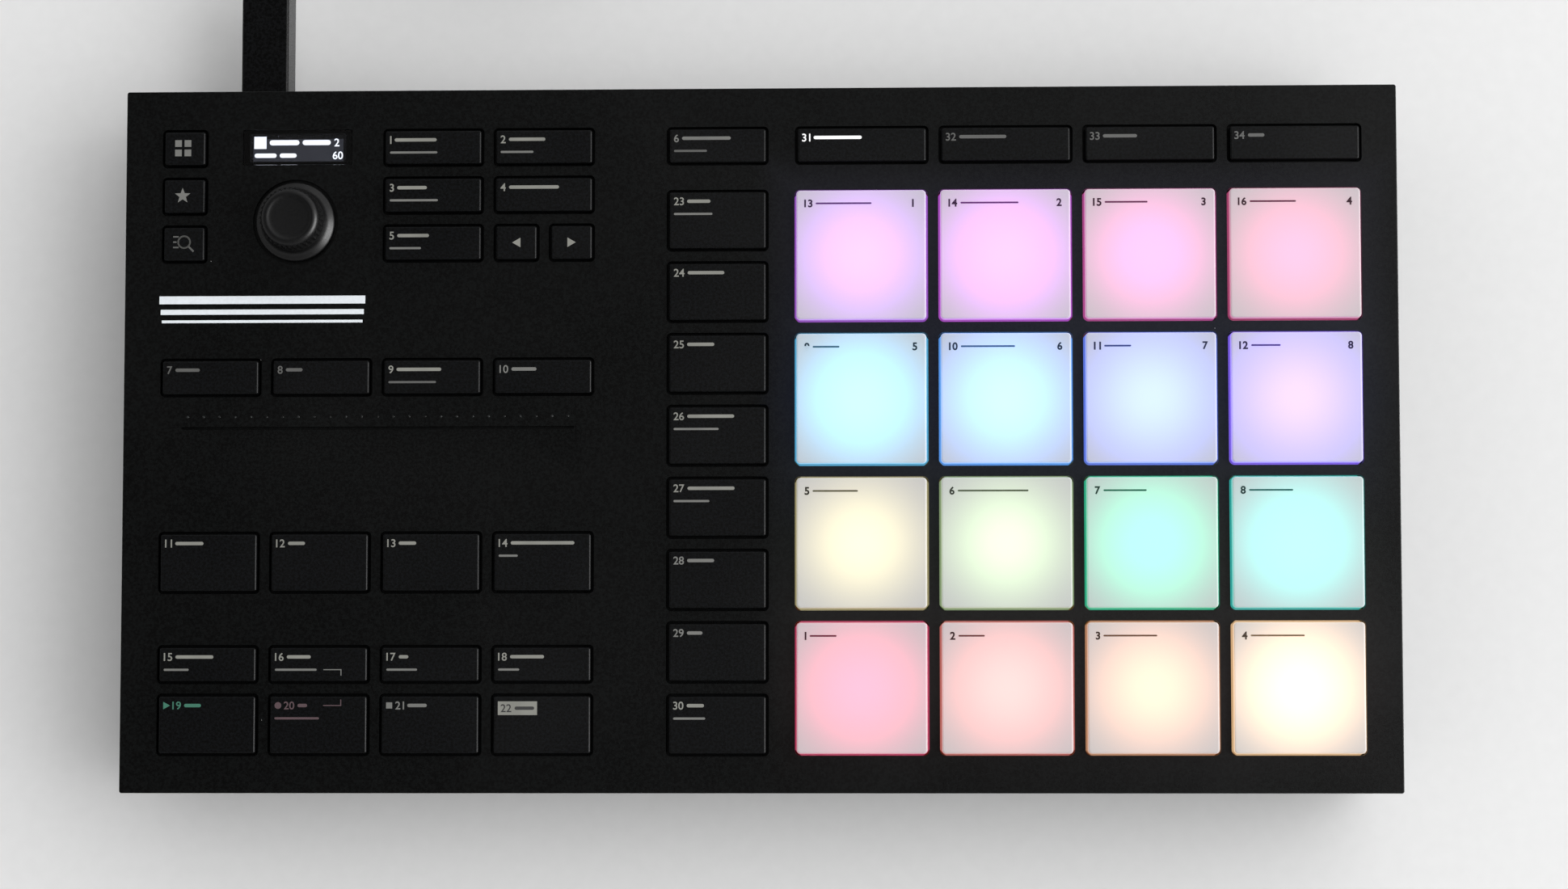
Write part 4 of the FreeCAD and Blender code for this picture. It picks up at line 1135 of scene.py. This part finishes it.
def search_icon(sheet, x, y, top):
    """A ring of short strokes with a handle, and three lines beside it."""
    radius, line = SEARCH_RING
    centre = Vector((x, y)) + Vector(SEARCH_PLACE)
    rim = disc(*centre, radius, SEARCH_STROKES)
    for start, end in zip(rim, rim[1:] + rim[:1]):
        add_shape(sheet, stroke(start, end, line), top, "dim")
    start, end = (centre + Vector((1, -1)) * (radius * share) for share in HANDLE)
    add_shape(sheet, stroke(start, end, HANDLE_LINE), top, "dim")
    left = x - LIST_LEFT
    for drop, reach in LIST_LINES:
        low = centre.y + drop * MM
        add_shape(sheet, stroke((left, low), (left + reach * MM, low), line), top, "dim")


sheet = bmesh.new()
for (left, back, right, front, top), icon in zip(caps_of("icon_keys"), (grid_icon, star_icon, search_icon)):
    icon(sheet, (left + right) / 2 + ICON_SHIFT[0], (back + front) / 2 + ICON_SHIFT[1], top)
keep_legend("icon_keys", sheet)
for name, side in (("page_left_key", -1), ("page_right_key", 1)):
    sheet = bmesh.new()
    left, back, right, front, top = caps_of(name)[0]
    arrow = triangle((left + right) / 2, (back + front) / 2, side * ARROW, ARROW_HEIGHT)
    add_shape(sheet, arrow, top, "bright")
    keep_legend(name, sheet)
print("legend sheets:", len(legend_sheets))

# %% [markdown]
# ## Print on the pads
#
# The pads are printed, not lit, so their legends are dark ink: the pad's number, a thin bar, and a small
# figure at the right on the two back rows.

# %% Pad print
PAD_BARS = {
    1: 6.7, 2: 6.5, 3: 13.3, 4: 13.3, 5: 11.3, 6: 17.6, 7: 10.7, 8: 10.9, 9: 6.7, 10: 13.5, 11: 6.7,
    12: 7.3, 13: 14.0, 14: 14.5, 15: 10.7, 16: 11.5,
}
PAD_HALF = 15.8 * MM
PAD_MARGIN = 1.6 * MM
PAD_LINE = 2.85 * MM
PAD_BAR = 0.42 * MM
PADS_A_ROW = 4
BACK_PADS = 8
FIGURE_SPACE = 1.4 * MM
PAD_WEIGHT = 0.03
INK = (0.008, 0.007, 0.009)
INK_SHADES = (0.7, 1.3)
BOLD_SHARE = 0.03
THIN_SHARE = 0.12


def pad_ink(name, number, share):
    """Ink that lets this share of the pad's lamp through."""
    material, tree, shader = new_material(f"{name}_{number}")
    shade = uneven(tree, TONE_SCALE, 2.0, *INK_SHADES)
    plug(tree, shader.inputs["Base Color"], scaled(tree, INK, shade))
    hue, saturation, strength = PAD_LAMPS[number]
    glow_faintly(material, scaled(tree, lamp_colour(hue, saturation), shade), strength * share)
    shader.inputs["Roughness"].default_value = 0.6
    shader.inputs["Specular IOR Level"].default_value = 0.1
    return material


def print_pad(number, length):
    """The print of one pad: its number, a bar of that many millimetres and, at the back, a figure."""
    centre = middle_of(f"pad_{number}")
    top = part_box(f"pad_{number}")[1][2]
    left = centre.x - PAD_HALF + PAD_MARGIN
    middle = centre.y + PAD_HALF - PAD_LINE
    low_line = middle - CAP_HEIGHT / 2
    sheet = bmesh.new()
    width = add_number(sheet, str(number), left, low_line, top, weight=PAD_WEIGHT)
    bar = pill(left + width + NUMBER_GAP, middle - PAD_BAR / 2, length * MM, PAD_BAR)
    add_plate(sheet, bar, top - SUNK, top + PRINT, 1)
    if number > BACK_PADS:
        figure = str((number + PADS_A_ROW - 1) % BACK_PADS + 1)
        right = centre.x + PAD_HALF - PAD_MARGIN - FIGURE_SPACE
        add_number(sheet, figure, right, low_line, top, weight=PAD_WEIGHT)
    inks = [pad_ink("bold_ink", number, BOLD_SHARE), pad_ink("thin_ink", number, THIN_SHARE)]
    return new_piece(f"print_pad_{number}", sheet, inks)


for number, length in PAD_BARS.items():
    piece = print_pad(number, length)
    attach(piece, f"pad_{number}")
print("printed pads:", len(PAD_BARS))

# %% [markdown]
# ## Display
#
# The display is a small glass with a white picture under a smoked window. Its picture is two lines of
# plain bars with a boxed number, on ground that glows faintly blue. The window is clear plastic dyed grey,
# so the picture shows through it and the glass round it doesn't.

# %% Display picture
SIGHT = (31.9, 11.9, 54.8, 17.6)  # left, back, right and front edge, millimetres from the panel's corner
GLASS_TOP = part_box("display_module")[1][2]
PICTURE_WHITE = (1.3, 1.35, 1.45)
PICTURE_GROUND = (0.023, 0.024, 0.030)
PICTURE_BARS = [  # left, middle line, length and thickness
    (36.0, 12.8, 7.6, 1.3), (44.4, 12.8, 7.2, 1.3), (32.2, 16.1, 5.6, 1.1), (38.6, 16.1, 4.3, 1.1),
]
PICTURE_NUMBERS = [("2", 52.5, 12.8), ("60", 52.1, 16.1)]
PICTURE_BOX = (32.1, 12.8, 3.1)
PICTURE_STRENGTH = 1.6
PICTURE_SHADES = (0.85, 1.15)
WINDOW_GREY = (0.55, 0.56, 0.60, 1.0)
WINDOW_HAZE = (0.02, 0.06)
GLASS_BLACK = (0.004, 0.004, 0.005)


def glow(name, colour):
    material, tree, shader = new_material(name)
    level = uneven(tree, 300.0, 1.0, *PICTURE_SHADES)
    plug(tree, shader.inputs["Emission Color"], scaled(tree, colour, level))
    shader.inputs["Emission Strength"].default_value = PICTURE_STRENGTH
    shader.inputs["Base Color"].default_value = LEGEND_BLACK
    return material


def smoked_window():
    material, tree, shader = new_material("smoked_window")
    plug(tree, shader.inputs["Roughness"], uneven(tree, 60.0, 2.0, *WINDOW_HAZE))
    shader.inputs["Base Color"].default_value = WINDOW_GREY
    shader.inputs["Transmission Weight"].default_value = 1.0
    shader.inputs["IOR"].default_value = 1.3
    shader.inputs["Specular IOR Level"].default_value = 0.1
    return material


dress("display_window", smoked_window())
dress("display_module", moulded("display_glass", GLASS_BLACK, roughness=0.2, depth=0.0, shine=0.3))
sheet = bmesh.new()
left, back, right, front = SIGHT
ground = [from_corner(*place).xy for place in ((left, front), (right, front), (right, back), (left, back))]
add_plate(sheet, ground, GLASS_TOP, GLASS_TOP + 0.5 * PRINT, 1)
for x, y, length, thickness in PICTURE_BARS:
    start = from_corner(x, y)
    bar = pill(start.x, start.y - thickness * MM / 2, length * MM, thickness * MM)
    add_plate(sheet, bar, GLASS_TOP, GLASS_TOP + PRINT)
x, y, size = PICTURE_BOX
start = from_corner(x, y)
add_plate(sheet, square(start.x, start.y, size * MM), GLASS_TOP, GLASS_TOP + PRINT)
for text, x, y in PICTURE_NUMBERS:
    start = from_corner(x, y)
    add_number(sheet, text, start.x, start.y - CAP_HEIGHT / 2, GLASS_TOP)
picture_finishes = [glow("picture_white", PICTURE_WHITE), glow("picture_ground", PICTURE_GROUND)]
picture = new_piece("display_picture", sheet, picture_finishes)
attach(picture, "case")

# %% [markdown]
# ## Stripes
#
# Three pale stripes of one length are printed under the display. So thin a print could be a picture on the
# cover, but a plate a few hundredths of a millimetre high keeps its edges sharp from any distance.

# %% Stripes
STRIPE_PLACE = (9.8, 52.1)
STRIPE_LENGTH = 50.2
STRIPE_WIDTHS = (2.0, 1.3, 0.7)
STRIPE_GAP = 1.4
STRIPE_COLOUR = (0.72, 0.76, 0.80)
STRIPE_SHADES = (0.9, 1.1)


def stripe_paint():
    material, tree, shader = new_material("stripe_paint")
    shade = uneven(tree, TONE_SCALE, 2.0, *STRIPE_SHADES)
    plug(tree, shader.inputs["Base Color"], scaled(tree, STRIPE_COLOUR, shade))
    shader.inputs["Roughness"].default_value = 0.5
    return material


sheet = bmesh.new()
back = STRIPE_PLACE[1]
for width in STRIPE_WIDTHS:
    start = from_corner(STRIPE_PLACE[0], back + width / 2)
    stripe = stroke(start.xy, (start.x + STRIPE_LENGTH * MM, start.y), width * MM)
    add_plate(sheet, stripe, PANEL_TOP - SUNK, PANEL_TOP + PRINT)
    back += width + STRIPE_GAP
stripes = new_piece("panel_stripes", sheet, [stripe_paint()])
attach(stripes, "case")

# %% [markdown]
# ## The cord
#
# A cord is one length of something flexible, so it is one open NURBS spline from end to end. It leaves the
# plug straight, sinks to the table, goes into a neat coil of four layers behind the controller and comes
# out over the top to the computer's plug. Where it runs free its control points are listed one by one. The
# coil's turns follow a rule: each layer spirals in or out by one pitch a turn, and the cord climbs to the
# next layer where the direction changes.

# %% Cord route
CORD_DIAMETER = 4.6 * MM
ROUTE_IN = [
    (-0.1270, 0.1372, 0.0180), (-0.1270, 0.1505, 0.0180), (-0.1255, 0.1645, 0.0122),
    (-0.1195, 0.1787, 0.0060), (-0.1080, 0.1910, 0.0028), (-0.0935, 0.1978, 0.00235),
    (-0.0795, 0.2000, 0.00235), (-0.0666, 0.2000, 0.00235),
]
ROUTE_OUT = [
    (-0.0574, 0.2000, 0.01765), (-0.0465, 0.2000, 0.01765), (-0.0335, 0.1988, 0.0116),
    (-0.0205, 0.1964, 0.0054), (-0.0060, 0.1926, 0.0038), (0.0080, 0.1875, 0.0038),
]
COIL_CENTRE = Vector((-0.062, 0.168, 0.0))
COIL_RADIUS = 32.0 * MM
COIL_PITCH = 5.1 * MM
COIL_LAYER = 5.1 * MM
COIL_TURNS = 10
COIL_LAYERS = 4
CLIMB_TURNS = 0.5
CORD_LOW = 2.35 * MM
POINTS_A_TURN = 14


def coil_point(turn):
    """The cord's centre after this many turns, clockwise from the back."""
    turns_a_layer = COIL_TURNS / COIL_LAYERS
    layer, along = divmod(turn, turns_a_layer)
    inward = along if layer % 2 == 0 else turns_a_layer - along
    radius = COIL_RADIUS - COIL_PITCH * inward
    height = CORD_LOW
    for step in range(1, COIL_LAYERS):
        share = min(max((turn - step * turns_a_layer) / CLIMB_TURNS + 0.5, 0.0), 1.0)
        height += COIL_LAYER * share * share * (3 - 2 * share)
    angle = math.pi / 2 - 2 * math.pi * turn
    return COIL_CENTRE + Vector((radius * math.cos(angle), radius * math.sin(angle), height))


# %% Cord spline
def make_cord(name, points, diameter):
    curve = bpy.data.curves.new(name, "CURVE")
    curve.dimensions = "3D"
    spline = curve.splines.new("NURBS")
    spline.points.add(len(points) - 1)
    for control, place in zip(spline.points, points):
        control.co = (*place, 1.0)
    spline.order_u = 3
    spline.use_endpoint_u = True
    spline.resolution_u = 6
    curve.bevel_depth = diameter / 2
    curve.bevel_resolution = 5
    curve.use_fill_caps = True
    return add_object(name, curve)


steps = POINTS_A_TURN * COIL_TURNS
coil = [coil_point(i / POINTS_A_TURN) for i in range(steps + 1)]
usb_lead = make_cord("usb_lead", [*ROUTE_IN, *coil, *ROUTE_OUT], CORD_DIAMETER)
print("cord control points:", len(ROUTE_IN) + len(coil) + len(ROUTE_OUT))
usb_lead.data.materials.append(cord_black)
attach(usb_lead, "case")
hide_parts("usb_cord", "usb_cord_coil")
